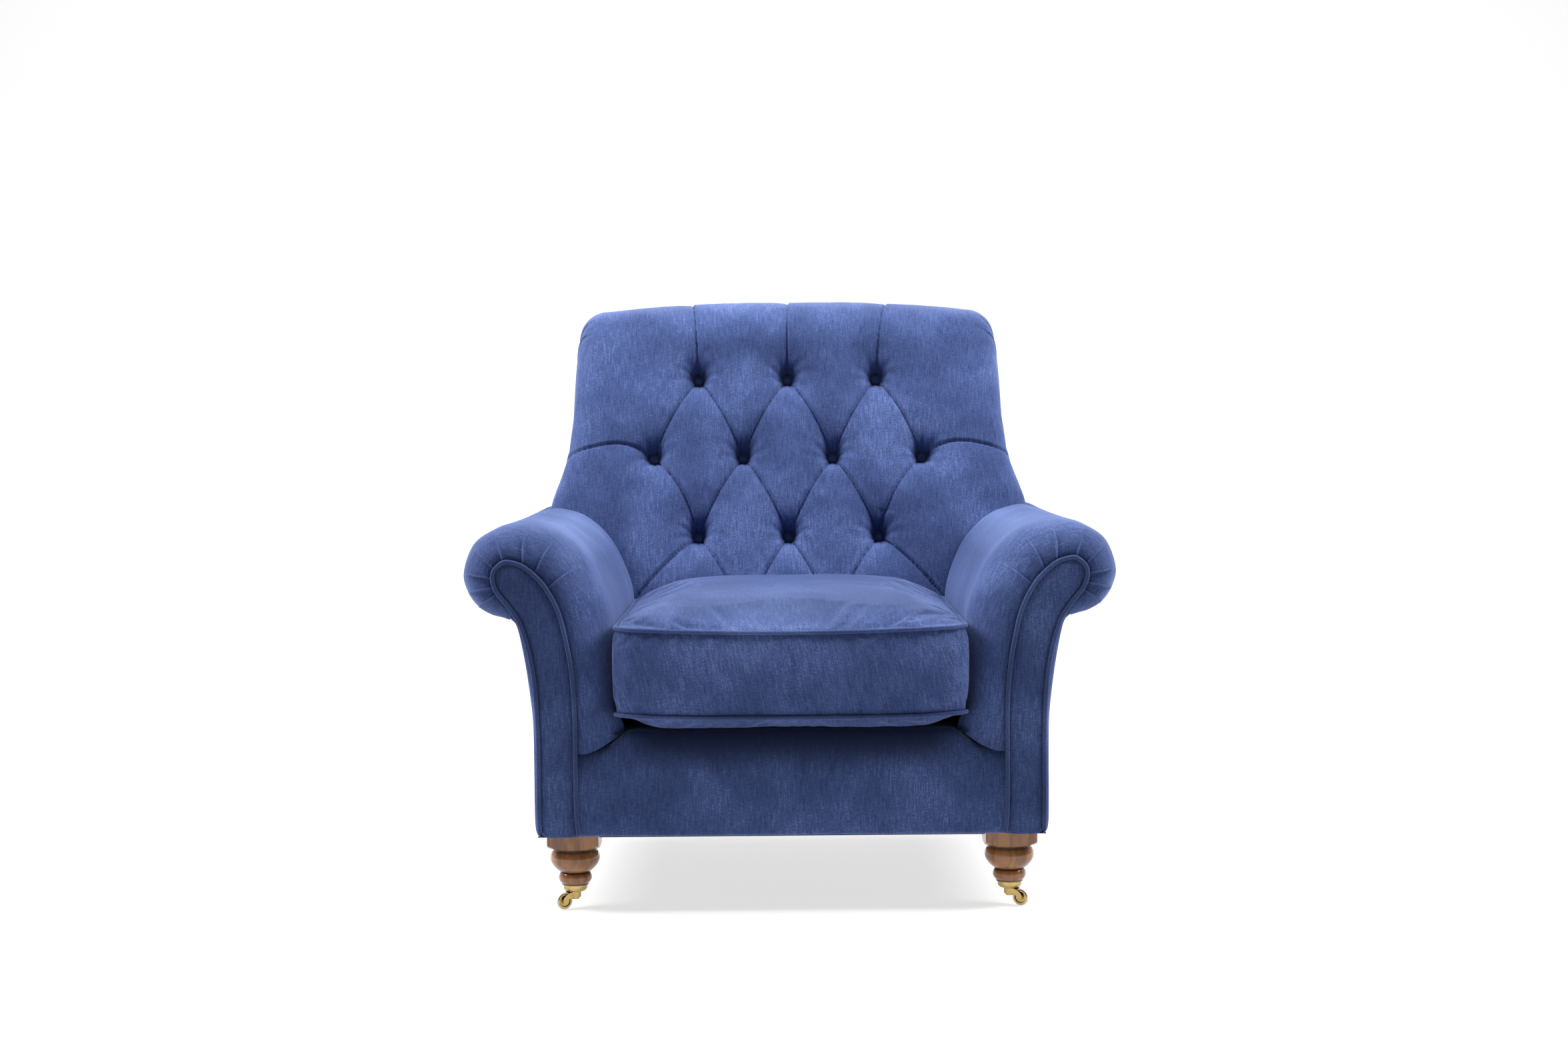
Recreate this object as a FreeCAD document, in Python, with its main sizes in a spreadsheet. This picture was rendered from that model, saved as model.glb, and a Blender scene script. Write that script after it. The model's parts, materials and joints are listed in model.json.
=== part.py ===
import FreeCAD, Part

import math
import os

import Sketcher
from FreeCAD import Placement, Rotation, Vector

# Scroll-arm easy chair with a deep-buttoned back, a loose seat cushion and brass castors on turned legs.
# Millimetres, +Z up, the sitter faces -Y, origin on the floor under the middle of the chair.

SIZES = [
    # name, size, what it is
    ("base_width", 766, "across the upholstered base, skin to skin"),
    ("base_height", 115, "floor to the underside of the base"),
    ("seat_depth", 572, "front of the cushion to the back pad"),
    ("back_depth", 328, "back pad at the seat to the rear of the top roll"),
    ("back_height", 944, "floor to the top of the back"),
    ("arm_height", 584, "floor to the crest of the arm"),
    ("arm_thickness", 118, "outside skin to the seat side of an arm"),
    ("arm_overhang", 107, "how far the arm roll stands out past the base"),
    ("arm_roll", 63, "radius of the arm roll's underside"),
    ("flare", 344, "radius of the outside arm where it sweeps out"),
    ("facing_width", 55, "width of the arm facing"),
    ("facing_thickness", 12, "board and wadding of the arm facing"),
    ("facing_sweep", 320, "radius of the facing's seat-side edge"),
    ("panel_thickness", 8, "covered outside panels"),
    ("pad_wall", 57, "padding on the seat side of an arm"),
    ("board", 28, "thickness of the frame timber"),
    ("rail_height", 100, "seat rails, top to bottom"),
    ("post_board", 38, "thickness of the arm post"),
    ("arm_rail_width", 58, "top rail of the arm"),
    ("arm_rail_height", 25, "top rail of the arm"),
    ("back_post", 50, "depth of a back post"),
    ("platform_height", 275, "floor to the sprung seat's top"),
    ("platform_thickness", 24, "felt and cover over the springs"),
    ("top_roll", 96, "radius of the roll along the top of the back"),
    ("shoulder_width", 744, "across the back below the top corners"),
    ("shoulder_round", 58, "radius of the back's top corners"),
    ("cushion_gap", 3, "cushion to each arm"),
    ("cushion_border", 132, "piping to piping on the cushion's front"),
    ("cushion_crown", 38, "rise of the cushion above its top piping"),
    ("cushion_belly", 19, "drop of the cushion below its bottom piping"),
    ("cushion_round", 22, "radius of the cushion's corners in plan"),
    ("cover_thickness", 4, "cushion cover with its wadding"),
    ("piping", 6, "diameter of the piping cord"),
    ("button_width", 23, "covered button"),
    ("button_thickness", 8, "covered button"),
    ("tuft_depth", 46, "how deep a button is drawn in"),
    ("tuft_mouth", 62, "width of the pit round a button"),
    ("button_pitch", 157, "between buttons in a row"),
    ("row_pitch", 143.5, "between rows of buttons, up the back"),
    ("lowest_row", 121, "lowest row of buttons above the cushion's piping line"),
    ("twine", 2, "button twine"),
    ("webbing_width", 50, "elastic webbing in the back"),
    ("webbing_thickness", 3, "elastic webbing in the back"),
    ("hessian", 1.5, "hessian between the back's webbing and its padding"),
    ("zip_margin", 49, "end of the cushion's zip to the cushion's corner"),
    ("zip_width", 14, "zip along the back of the cushion cover"),
    ("screw_width", 5, "screws through the corner blocks"),
    ("spring_wire", 3.8, "zigzag seat spring wire"),
    ("spring_width", 48, "zigzag seat spring, loop to loop"),
    ("spring_pitch", 26, "zigzag seat spring, along its length"),
    ("spring_spacing", 112, "between zigzag springs"),
    ("leg_block", 77, "square top block of a front leg"),
    ("leg_belly", 74, "largest turning of a front leg"),
    ("leg_ring", 50.6, "lower turning of a front leg"),
    ("leg_waist", 43.4, "narrow place between the turnings"),
    ("leg_inset", 17, "front leg block in from the base's side and front"),
    ("rear_leg_top", 50, "square rear leg at the base"),
    ("rear_leg_foot", 34, "square rear leg at the floor"),
    ("rear_leg_splay", 30, "how far the rear foot stands back"),
    ("bolt_width", 8, "hanger bolt"),
    ("bolt_length", 74, "hanger bolt"),
    ("wheel_width", 26, "castor wheel across its tread"),
    ("wheel_thickness", 12, "castor wheel along its axle"),
    ("tread", 1.8, "depth of the tread on the castor wheel"),
    ("trail", 20, "castor axle behind its swivel"),
    ("castor_turn", 30, "angle of the castors, outward from straight across"),
    ("cup_width", 36, "castor cup"),
    ("cup_height", 10.5, "castor cup"),
    ("cup_floor", 26, "floor to the underside of the castor cup"),
    ("fork_width", 17, "castor fork over its cheeks"),
    ("fork_slot", 13, "castor fork between its cheeks"),
    ("pivot_width", 7, "castor swivel pin"),
    ("axle_width", 3, "castor axle"),
    ("running_gap", 0.06, "radial clearance of the castor's turning fits"),
]

doc = FreeCAD.newDocument("armchair")
sheet = doc.addObject("Spreadsheet::Sheet", "Sizes")


class Size:
    """A length together with the sheet expression that it comes from."""

    def __init__(self, value, text=None):
        self.value = float(value)
        self.text = text or repr(float(value))

    @staticmethod
    def of(other):
        return other if isinstance(other, Size) else Size(other)

    def join(self, sign, other, value):
        return Size(value, f"({self.text} {sign} {other.text})")

    def __add__(self, other):
        other = Size.of(other)
        return self.join("+", other, self.value + other.value)

    def __sub__(self, other):
        other = Size.of(other)
        return self.join("-", other, self.value - other.value)

    def __mul__(self, other):
        other = Size.of(other)
        return self.join("*", other, self.value * other.value)

    def __truediv__(self, other):
        other = Size.of(other)
        return self.join("/", other, self.value / other.value)

    def __radd__(self, other):
        return Size.of(other) + self

    def __rsub__(self, other):
        return Size.of(other) - self

    def __rmul__(self, other):
        return Size.of(other) * self

    def __neg__(self):
        return Size(0) - self

    def __float__(self):
        return self.value


class NamedSizes:
    """The sheet's cells by name."""

    def __init__(self):
        for row, (name, value, note) in enumerate(SIZES, start=1):
            sheet.set(f"A{row}", name)
            sheet.set(f"B{row}", str(value))
            sheet.set(f"C{row}", note)
            sheet.setAlias(f"B{row}", name)
        doc.recompute()
        for name, value, note in SIZES:
            setattr(self, name, Size(value, f"Sizes.{name}"))


size = NamedSizes()
finished = {}  # node name: document object

# ---------------------------------------------------------------- places worked out from the sizes
skin = size.base_width / 2
front = -(size.seat_depth + size.back_depth) / 2
rear = -front
back_line = front + size.seat_depth  # where the back pad meets the cushion
facing_front = front + 12
post_front = facing_front + size.facing_thickness
rail_front = post_front + size.post_board - size.board
rail_low = size.base_height
seat_half = skin - size.arm_thickness
facing_outer = skin - 6.5
facing_inner = facing_outer - size.facing_width
piping_low = size.platform_height + size.cushion_belly + 0.5
piping_high = piping_low + size.cushion_border
roll_x = skin + size.arm_overhang - size.arm_roll
roll_z = size.arm_height - 77
flare_z = size.arm_height - 289
crest_x = roll_x - 30
top_roll_y = rear - size.top_roll
top_roll_z = size.back_height - size.top_roll
shell_low = back_line + 171  # outside back at the base
shell_high = top_roll_y + 48  # outside back under the top roll
shell_top_z = top_roll_z - 44
arm_pad_low = size.platform_height - 32
side_rail_x = skin - size.panel_thickness - size.board
rear_rail_y = shell_low - size.panel_thickness - size.board - 4
leg_x = skin - size.leg_inset - size.leg_block / 2
leg_y = facing_front + size.leg_inset + size.leg_block / 2
rear_leg_x = side_rail_x - 15
rear_leg_y = rear_rail_y - 20


# ---------------------------------------------------------------- making and placing
def point(x, y, z=0.0):
    return Vector(float(x), float(y), float(z))


def bind(obj, **values):
    for name, value in values.items():
        obj.setExpression(name, Size.of(value).text)


def move_to(obj, x, y, z):
    for axis, value in zip("xyz", (x, y, z)):
        obj.setExpression(f"Placement.Base.{axis}", Size.of(value).text)
    return obj


def box(label, low, high):
    obj = doc.addObject("Part::Box", label)
    length, width, height = (Size.of(b) - a for a, b in zip(low, high))
    bind(obj, Length=length, Width=width, Height=height)
    return move_to(obj, *low)


def cylinder(label, width, low, height):
    obj = doc.addObject("Part::Cylinder", label)
    bind(obj, Radius=Size.of(width) / 2, Height=height)
    return move_to(obj, *low)


def cut(label, base, tool):
    obj = doc.addObject("Part::Cut", label)
    obj.Base, obj.Tool = base, tool
    return obj


def fuse(label, *pieces):
    obj = doc.addObject("Part::MultiFuse", label)
    obj.Shapes = list(pieces)
    return obj


def mirror(label, source):
    obj = doc.addObject("Part::Mirroring", label)
    obj.Source, obj.Normal = source, Vector(1, 0, 0)
    return obj


def shaped(label, shape):
    """A piece whose shape Part's own functions make."""
    obj = doc.addObject("Part::Feature", label)
    obj.Shape = shape
    return obj


def keep(name, obj):
    obj.Label = name
    finished[name] = obj
    return obj


def keep_pair(name, obj):
    """Keeps the piece at -X as the left one and its mirror image as the right one."""
    keep(f"{name}_left", obj)
    keep(f"{name}_right", mirror(f"{name}_mirror", obj))
    return obj


def origin_plane(body, role):
    return next(f for f in body.Origin.OriginFeatures if f.Role == role)


def draw(body, name, role, start, steps):
    """A closed sketch. A step is (x, y) for a line or (x, y, radius) for an arc, negative where it turns right."""
    sketch = body.newObject("Sketcher::SketchObject", name)
    sketch.AttachmentSupport = [(origin_plane(body, role), "")]
    sketch.MapMode = "FlatFace"
    ends, here = [], start
    for step in [*steps, start]:
        there = (step[0], step[1])
        a, b = point(*here), point(*there)
        if len(step) == 2:
            ends.append((sketch.addGeometry(Part.LineSegment(a, b)), 1, 2, here))
        else:
            radius = Size.of(step[2])
            r = abs(radius.value)
            left = Vector(a.y - b.y, b.x - a.x, 0).normalize()
            reach = math.sqrt(r * r - (b - a).Length ** 2 / 4)
            centre = (a + b) / 2 + left * math.copysign(reach, radius.value)
            first, last = (a, b) if radius.value > 0 else (b, a)
            angles = [math.atan2(p.y - centre.y, p.x - centre.x) for p in (first, last)]
            if angles[1] < angles[0]:
                angles[1] += 2 * math.pi
            circle = Part.Circle(centre, Vector(0, 0, 1), r)
            geo = sketch.addGeometry(Part.ArcOfCircle(circle, *angles))
            ends.append((geo, *((1, 2) if radius.value > 0 else (2, 1)), here))
            row = sketch.addConstraint(Sketcher.Constraint("Radius", geo, r))
            text = radius.text if radius.value > 0 else f"-({radius.text})"
            sketch.setExpression(f"Constraints[{row}]", text)
        here = there
    for index, (geo, first, last, at) in enumerate(ends):
        before = ends[index - 1]
        sketch.addConstraint(Sketcher.Constraint("Coincident", before[0], before[2], geo, first))
        for kind, axis, value in (("DistanceX", -2, at[0]), ("DistanceY", -1, at[1])):
            value = Size.of(value)
            if value.value == 0:
                sketch.addConstraint(Sketcher.Constraint("PointOnObject", geo, first, axis))
            else:
                row = sketch.addConstraint(Sketcher.Constraint(kind, geo, first, value.value))
                sketch.setExpression(f"Constraints[{row}]", value.text)
    return sketch


def turned(label, start, steps):
    """A lathe-turned piece: an outline of (radius, height) points spun about the vertical axis."""
    body = doc.addObject("PartDesign::Body", label)
    sketch = draw(body, f"{label}_outline", "XZ_Plane", start, steps)
    spin = body.newObject("PartDesign::Revolution", f"{label}_turning")
    spin.Profile = sketch
    spin.ReferenceAxis = (sketch, ["V_Axis"])
    spin.Angle = 360
    return body


def padded_outline(label, role, start, steps, length, both_ways=False):
    body = doc.addObject("PartDesign::Body", label)
    sketch = draw(body, f"{label}_outline", role, start, steps)
    pad = body.newObject("PartDesign::Pad", f"{label}_pad")
    pad.Profile = sketch
    bind(pad, Length=length)
    pad.Midplane = both_ways
    return body


def line(a, b):
    return Part.LineSegment(a, b).toShape()


def bow(a, middle, b):
    return Part.Arc(a, middle, b).toShape()


def polyline(points):
    return [line(a, b) for a, b in zip(points, points[1:])]


def prism(edges, direction):
    return Part.Face(Part.Wire(edges)).extrude(direction)


def on_arc(x, z, radius, degrees):
    """A point on a circle in the XZ plane, the angle rising from the side nearest the seat."""
    turn = math.radians(degrees)
    return float(x) - float(radius) * math.cos(turn), float(z) + float(radius) * math.sin(turn)


def across(u, z, y):
    """The point at distance u left of the middle plane."""
    return Vector(-float(u), float(y), float(z))


# ---------------------------------------------------------------- seat frame
def block_screws():
    """Two screws through every corner block, one into each rail."""
    radius, length, z = float(size.screw_width) / 2, 48.0, float(rail_low) + 22
    screws = []
    for edge_y, way in ((rail_front + size.board, 1), (rear_rail_y, -1)):
        x, y = -float(side_rail_x), float(edge_y)
        screws.append(Part.makeCylinder(radius, length, Vector(x + 72, y + way * 30, z), Vector(0, -way, 0)))
        screws.append(Part.makeCylinder(radius, length, Vector(x + 30, y + way * 72, z), Vector(-1, 0, 0)))
    both = screws + [s.mirror(Vector(), Vector(1, 0, 0)) for s in screws]
    return keep("block_screws", shaped("block_screw_set", Part.makeCompound(both)))


def seat_frame(screws):
    rail_top = rail_low + size.rail_height
    end = facing_inner + 1.5
    front_timber = box("front_rail_timber", (-end, rail_front, rail_low), (end, rail_front + size.board, rail_top))
    rear_timber = box("rear_rail_timber", (-side_rail_x, rear_rail_y, rail_low),
                      (side_rail_x, rear_rail_y + size.board, rail_top))
    side_timber = box("side_rail_timber", (-side_rail_x - size.board, post_front + size.post_board, rail_low),
                      (-side_rail_x, rear_rail_y + size.board, rail_top))
    keep("front_rail", cut("front_rail_drilled", front_timber, screws))
    keep("rear_rail", cut("rear_rail_drilled", rear_timber, screws))
    keep_pair("side_rail", cut("side_rail_drilled", side_timber, screws))


def corner_blocks(screws):
    """Four blocks in the frame's inner corners, each drilled for a leg's hanger bolt."""
    reach, thick = 92.0, 45.0
    blocks = []
    corners = [(leg_x, leg_y, rail_front + size.board, 1), (rear_leg_x, rear_leg_y, rear_rail_y, -1)]
    for bolt_x, bolt_y, edge_y, way in corners:
        x, y, z = -float(side_rail_x), float(edge_y), float(rail_low)
        outline = [Vector(x, y, z), Vector(x + reach, y, z), Vector(x + reach, y + way * 30, z),
                   Vector(x + 30, y + way * reach, z), Vector(x, y + way * reach, z), Vector(x, y, z)]
        block = prism(polyline(outline), Vector(0, 0, thick))
        hole = Part.makeCylinder(float(size.bolt_width) / 2, thick, point(-bolt_x, bolt_y, rail_low))
        blocks.append(block.cut(hole))
    both = blocks + [b.mirror(Vector(), Vector(1, 0, 0)) for b in blocks]
    drilled = [b.cut(screws.Shape) for b in both]
    keep("corner_blocks", shaped("corner_block_set", Part.makeCompound(drilled)))


def leg_bolts():
    low = float(rail_low) + 42 - float(size.bolt_length)
    bolts = [Part.makeCylinder(float(size.bolt_width) / 2, float(size.bolt_length), point(way * x, y, low))
             for x, y in ((leg_x, leg_y), (rear_leg_x, rear_leg_y)) for way in (-1, 1)]
    keep("leg_bolts", shaped("leg_bolt_set", Part.makeCompound(bolts)))
    return low


def spread(low, high, count):
    return [low + (high - low) * index / (count - 1) for index in range(count)]


# ---------------------------------------------------------------- suspension
def zigzag_spring(x, start_y, end_y, z):
    """One sinuous wire spring, its loops lying flat."""
    half, pitch = float(size.spring_width) / 2, float(size.spring_pitch)
    turn = pitch / 4
    loops = int((end_y - start_y - 2 * turn) / (pitch / 2))
    y, side, edges = start_y, -1, []
    here = Vector(x, y, z)
    there = Vector(x, y + turn, z)
    edges.append(line(here, there))
    y += turn
    edges.append(line(there, Vector(x - half + turn, y, z)))
    for _ in range(loops):
        bend_x = x + side * (half - turn)
        edges.append(bow(Vector(bend_x, y, z), Vector(bend_x + side * turn, y + turn, z),
                         Vector(bend_x, y + 2 * turn, z)))
        y += 2 * turn
        side = -side
        edges.append(line(Vector(bend_x, y, z), Vector(x + side * (half - turn), y, z)))
    last = edges.pop()
    end = last.Vertexes[0].Point
    middle = Vector(x, y, z)
    edges += [line(end, middle), line(middle, Vector(x, end_y, z))]
    path = Part.Wire(edges)
    section = Part.Wire(Part.makeCircle(float(size.spring_wire) / 2, Vector(x, start_y, z), Vector(0, 1, 0)))
    return path.makePipeShell([section], True, False, 2)


def seat_springs():
    """Five zigzag springs from the front rail to the rear rail, each held by a clip at both ends."""
    z = float(rail_low + size.rail_height + size.spring_wire / 2)
    first, last = float(rail_front) + 16, float(rear_rail_y) + 12
    springs, clips = [], []
    for index in range(-2, 3):
        x = index * float(size.spring_spacing)
        spring = zigzag_spring(x, first, last, z)
        springs.append(spring)
        for y in (first - 4, last - 14):
            clip = Part.makeBox(16, 18, float(size.spring_wire) + 2.4,
                                Vector(x - 8, y, z - float(size.spring_wire) / 2))
            clips.append(clip.cut(spring))
    keep("seat_springs", shaped("seat_spring_set", Part.makeCompound(springs)))
    keep("spring_clips", shaped("spring_clip_set", Part.makeCompound(clips)))


def seat_platform():
    keep("seat_platform", box("seat_platform_felt",
                              (-seat_half, rail_front, size.platform_height - size.platform_thickness),
                              (seat_half, back_line, size.platform_height)))


def front_border():
    """The padded front of the base. It rises to the platform between the arms and stops under the arm pads."""
    low = box("border_low", (-facing_inner, post_front - 6, size.base_height),
              (facing_inner, rail_front, arm_pad_low))
    high = box("border_high", (-seat_half, post_front - 6, size.base_height),
               (seat_half, rail_front, size.platform_height - 4))
    keep("front_border", fuse("front_border_pad", low, high))


def dust_cover():
    sheet_z = size.base_height - 1.5
    cloth = box("dust_cloth", (-skin + 4, post_front + 4, sheet_z), (skin - 4, shell_low - 4, size.base_height))
    holes = []
    for way in (-1, 1):
        for x, y, width in ((leg_x, leg_y, size.leg_block), (rear_leg_x, rear_leg_y, size.rear_leg_top)):
            reach = width / 2 + 1
            holes.append(box("leg_hole", (way * x - reach, y - reach, sheet_z - 1),
                             (way * x + reach, y + reach, size.base_height + 1)))
    keep("dust_cover", cut("dust_cover_cloth", cloth, fuse("leg_holes", *holes)))
    side_x, low_y, high_y = float(skin) - 10, float(post_front) + 10, float(shell_low) - 10
    spots = [(x, y, 0) for y in (low_y, high_y) for x in spread(-float(skin) + 130, float(skin) - 130, 8)]
    spots += [(x, y, 1) for x in (-side_x, side_x) for y in spread(low_y + 110, high_y - 110, 7)]
    staples = []
    for x, y, turned_over in spots:
        length, width = (1.2, 10.0) if turned_over else (10.0, 1.2)
        staples.append(Part.makeBox(length, width, 0.8, Vector(x - length / 2, y - width / 2, float(sheet_z) - 0.8)))
    keep("cover_staples", shaped("cover_staple_set", Part.makeCompound(staples)))


# ---------------------------------------------------------------- arms
def facing_edges(y, inset=0.0):
    """The scroll-headed outline of an arm facing, or of one that much smaller all round."""
    low = float(size.base_height) + inset
    inner, outer = float(facing_inner) + inset, float(facing_outer) - inset
    sweep_z, sweep = float(size.arm_height) - 259, float(size.facing_sweep) - inset
    flare = float(skin - facing_outer + size.flare) + inset
    inner_centre = (float(facing_inner) + float(size.facing_sweep), sweep_z)
    outer_centre = (float(skin + size.flare), float(flare_z))
    corners = [on_arc(*inner_centre, sweep, 0), on_arc(*inner_centre, sweep, 16), on_arc(*inner_centre, sweep, 32),
               on_arc(*outer_centre, flare, 31), on_arc(*outer_centre, flare, 16), on_arc(*outer_centre, flare, 0)]
    a, b, c, d, e, f = (across(u, z, y) for u, z in corners)
    chord = d - c
    head = (c + d) / 2 + Vector(chord.z, 0, -chord.x).normalize() * (41 - inset)
    bottom_in, bottom_out = across(inner, low, y), across(outer, low, y)
    return [line(bottom_in, a), bow(a, b, c), bow(c, head, d), bow(d, e, f), line(f, bottom_out)]


def facing_prism(y, depth, inset=0.0):
    edges = facing_edges(y, inset)
    ends = [edges[-1].Vertexes[1].Point, edges[0].Vertexes[0].Point]
    return prism([*edges, line(*ends)], Vector(0, depth, 0))


def facing_piping():
    """Cord sewn round the facing's edge, from the base up over the scroll and down again."""
    y = float(facing_front + size.piping / 2)
    path = Part.Wire(facing_edges(y))
    start = path.Edges[0].Vertexes[0].Point
    section = Part.Wire(Part.makeCircle(float(size.piping) / 2, start, Vector(0, 0, 1)))
    return path.makePipeShell([section], True, False, 2)


def outside_arm_shape():
    """The covered panel on the outside of the arm, upright below and sweeping out under the roll."""
    y = float(post_front)
    outer, inner = float(size.flare), float(size.flare + size.panel_thickness)
    centre = (float(skin + size.flare), float(flare_z))
    low = float(size.base_height)
    a, b = (across(float(skin), z, y) for z in (low, float(flare_z)))
    c, d = (across(*on_arc(*centre, outer, angle), y) for angle in (12.5, 25))
    e, f = (across(*on_arc(*centre, inner, angle), y) for angle in (25, 12.5))
    g, k = (across(float(skin - size.panel_thickness), z, y) for z in (float(flare_z), low))
    return prism([line(a, b), bow(b, c, d), line(d, e), bow(e, f, g), line(g, k), line(k, a)],
                 Vector(0, float(shell_high - post_front), 0)), d, e


def arm_pad_shape(panel_end, panel_inside):
    """The padding: down the seat side, over the crest and round the roll. It is hollow towards the outside panel."""
    y = float(post_front)
    face = float(seat_half)
    spring_z, curve = float(size.arm_height) - 184, 228.0
    low, wall = float(arm_pad_low), float(size.pad_wall)
    centre = (face + curve, spring_z)
    a, b = across(face, low, y), across(face, spring_z, y)
    c, d = (across(*on_arc(*centre, curve, angle), y) for angle in (15, 30))
    shoulder = across(float(crest_x) - 56, float(size.arm_height) - 17, y)
    crest = across(crest_x, size.arm_height, y)
    roll = float(size.arm_roll)
    brow = across(float(roll_x) + 37, float(roll_z) + 54, y)
    side = across(float(roll_x) + roll, roll_z, y)
    under = across(float(roll_x) + roll * 0.7071, float(roll_z) - roll * 0.7071, y)
    tuck = across(roll_x, float(roll_z) - roll, y)
    roof = float(roll_z) - 37
    inside = [panel_end, panel_inside, across(float(crest_x) - 5, roof, y), across(face + wall + 24, roof, y),
              across(face + wall, roof - 50, y), across(face + wall, low, y), a]
    skin_edges = [line(a, b), bow(b, c, d), bow(d, shoulder, crest), bow(crest, brow, side), bow(side, under, tuck),
                  line(tuck, panel_end)]
    length = Vector(0, float(shell_high - post_front), 0)
    base = [panel_end, across(float(skin), flare_z, y), across(skin, low, y), a]
    return prism([*skin_edges, *polyline(base)], length), prism([*skin_edges, *polyline(inside)], length)


def arms():
    panel, panel_end, panel_inside = outside_arm_shape()
    cord = facing_piping()
    post = facing_prism(float(post_front), float(size.post_board), 1.5)
    roof = float(roll_z) - 37
    rail_y = float(post_front + size.post_board)
    rail_end = back_post_front(roof) + 30
    low, high = float(crest_x) - 5 - float(size.arm_rail_width), float(crest_x) - 5
    rail = Part.makeBox(high - low, rail_end - rail_y, float(size.arm_rail_height), Vector(-high, rail_y, roof))
    tack_x = float(seat_half + size.pad_wall)
    tack = Part.makeBox(30, back_post_front(float(arm_pad_low) + 45) + 5 - rail_y, 45,
                        Vector(-tack_x - 30, rail_y, float(arm_pad_low)))
    behind = back_shell_cutter()
    posts = back_post_shape()
    whole, pad = arm_pad_shape(panel_end, panel_inside)
    for tool in (post, rail, cord, behind, posts, back_hollow()):
        pad = pad.cut(tool)
    facing = facing_prism(float(facing_front), float(size.facing_thickness)).cut(cord)
    keep_pair("arm_post", shaped("arm_post_board", post))
    keep_pair("arm_rail", shaped("arm_rail_timber", rail.cut(back_hollow())))
    keep_pair("arm_tack_rail", shaped("arm_tack_timber", tack.cut(posts)))
    keep_pair("arm_pad", shaped("arm_padding", pad))
    keep_pair("arm_facing", shaped("arm_facing_board", facing))
    keep_pair("facing_piping", shaped("facing_cord", cord))
    keep_pair("outside_arm", shaped("outside_arm_panel", panel.cut(behind).cut(cord)))
    return whole.fuse(panel)


# ---------------------------------------------------------------- back
def shell_y(z):
    """The outside back's skin at a height."""
    rise = (z - float(size.base_height)) / (float(shell_top_z) - float(size.base_height))
    return float(shell_low) + rise * (float(shell_high) - float(shell_low))


def back_post_front(z):
    return shell_y(z) - float(size.panel_thickness) - float(size.back_post)


def slab(x_low, x_high, front_offset, rear_offset, z_low, z_high):
    """A board that leans with the outside back, measured forward from the back's skin."""
    corners = [(z_low, front_offset), (z_high, front_offset), (z_high, rear_offset), (z_low, rear_offset),
               (z_low, front_offset)]
    outline = [Vector(x_low, shell_y(z) - offset, z) for z, offset in corners]
    return prism(polyline(outline), Vector(x_high - x_low, 0, 0))


def back_shell_cutter():
    """Everything behind the front of the outside back panel."""
    wide = float(skin) + 200
    return slab(-wide, wide, float(size.panel_thickness), -300, 0, float(size.arm_height) + 200)


def back_post_shape():
    x = float(side_rail_x) - 2
    return slab(-x, -x + float(size.board), float(size.panel_thickness + size.back_post), float(size.panel_thickness),
                float(rail_low + size.rail_height), float(shell_top_z))


def back_hollow():
    """The space inside the back, between its padding, its side padding and the outside panel."""
    x = float(side_rail_x) - 2
    front_face = float(size.panel_thickness + size.back_post + size.webbing_thickness + size.hessian)
    return slab(-x, x, front_face, float(size.panel_thickness), float(size.base_height), float(shell_top_z))


def back_outline(y, depth):
    """The back seen from the front: upright shoulders with rounded corners, flaring out where it meets the arms."""
    half, corner = float(size.shoulder_width) / 2, float(size.shoulder_round)
    top, elbow = float(size.back_height), float(size.arm_height) + 108
    foot = half + 52
    crown = top - 16

    def at(x, z):
        return Vector(x, y, z)

    right = [line(at(half + 8, elbow), at(half - 3, crown - corner)),
             bow(at(half - 3, crown - corner), at(half - 3 - 0.29 * corner, crown - 0.29 * corner),
                 at(half - 3 - corner, crown))]
    left = [bow(at(-half + 3 + corner, crown), at(-half + 3 + 0.29 * corner, crown - 0.29 * corner),
                at(-half + 3, crown - corner)),
            line(at(-half + 3, crown - corner), at(-half - 8, elbow))]
    low = float(arm_pad_low) - 5
    shoulder_z = float(size.arm_height) - 22
    right_low = [line(at(foot, low), at(foot, shoulder_z)),
                 bow(at(foot, shoulder_z), at(half + 24, (shoulder_z + elbow) / 2 + 6), at(half + 8, elbow))]
    left_low = [bow(at(-half - 8, elbow), at(-half - 24, (shoulder_z + elbow) / 2 + 6), at(-foot, shoulder_z)),
                line(at(-foot, shoulder_z), at(-foot, low))]
    across_top = bow(at(half - 3 - corner, crown), at(0, top), at(-half + 3 + corner, crown))
    return prism([*right_low, *right, across_top, *left, *left_low, line(at(-foot, low), at(foot, low))],
                 Vector(0, depth, 0))


def back_profile():
    """The back pad from the side: a raked face that rolls over backwards along the top."""
    low = float(arm_pad_low)
    roll = float(size.top_roll)
    wide = float(skin) + 60
    rake = (float(top_roll_y) - roll - float(back_line)) / (float(top_roll_z) - float(piping_high))

    def at(y, z):
        return Vector(-wide, y, z)

    turn = math.radians(45)
    centre_y, centre_z = float(top_roll_y), float(top_roll_z)
    front_of_roll, top_of_roll = at(centre_y - roll, centre_z), at(centre_y, centre_z + roll)
    rear_of_roll = at(centre_y + roll, centre_z)
    tuck = at(shell_y(float(shell_top_z)), float(shell_top_z))
    behind = float(size.panel_thickness)
    inside = [tuck, at(shell_y(float(shell_top_z)) - behind, float(shell_top_z)), at(shell_y(low) - behind, low),
              at(float(back_line), low), at(float(back_line), float(piping_high))]
    edges = [line(at(float(back_line), float(piping_high)), front_of_roll),
             bow(front_of_roll, at(centre_y - roll * math.cos(turn), centre_z + roll * math.sin(turn)), top_of_roll),
             bow(top_of_roll, at(centre_y + roll * math.cos(turn), centre_z + roll * math.sin(turn)), rear_of_roll),
             line(rear_of_roll, tuck), *polyline(inside)]
    return prism(edges, Vector(2 * wide, 0, 0)), rake


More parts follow.
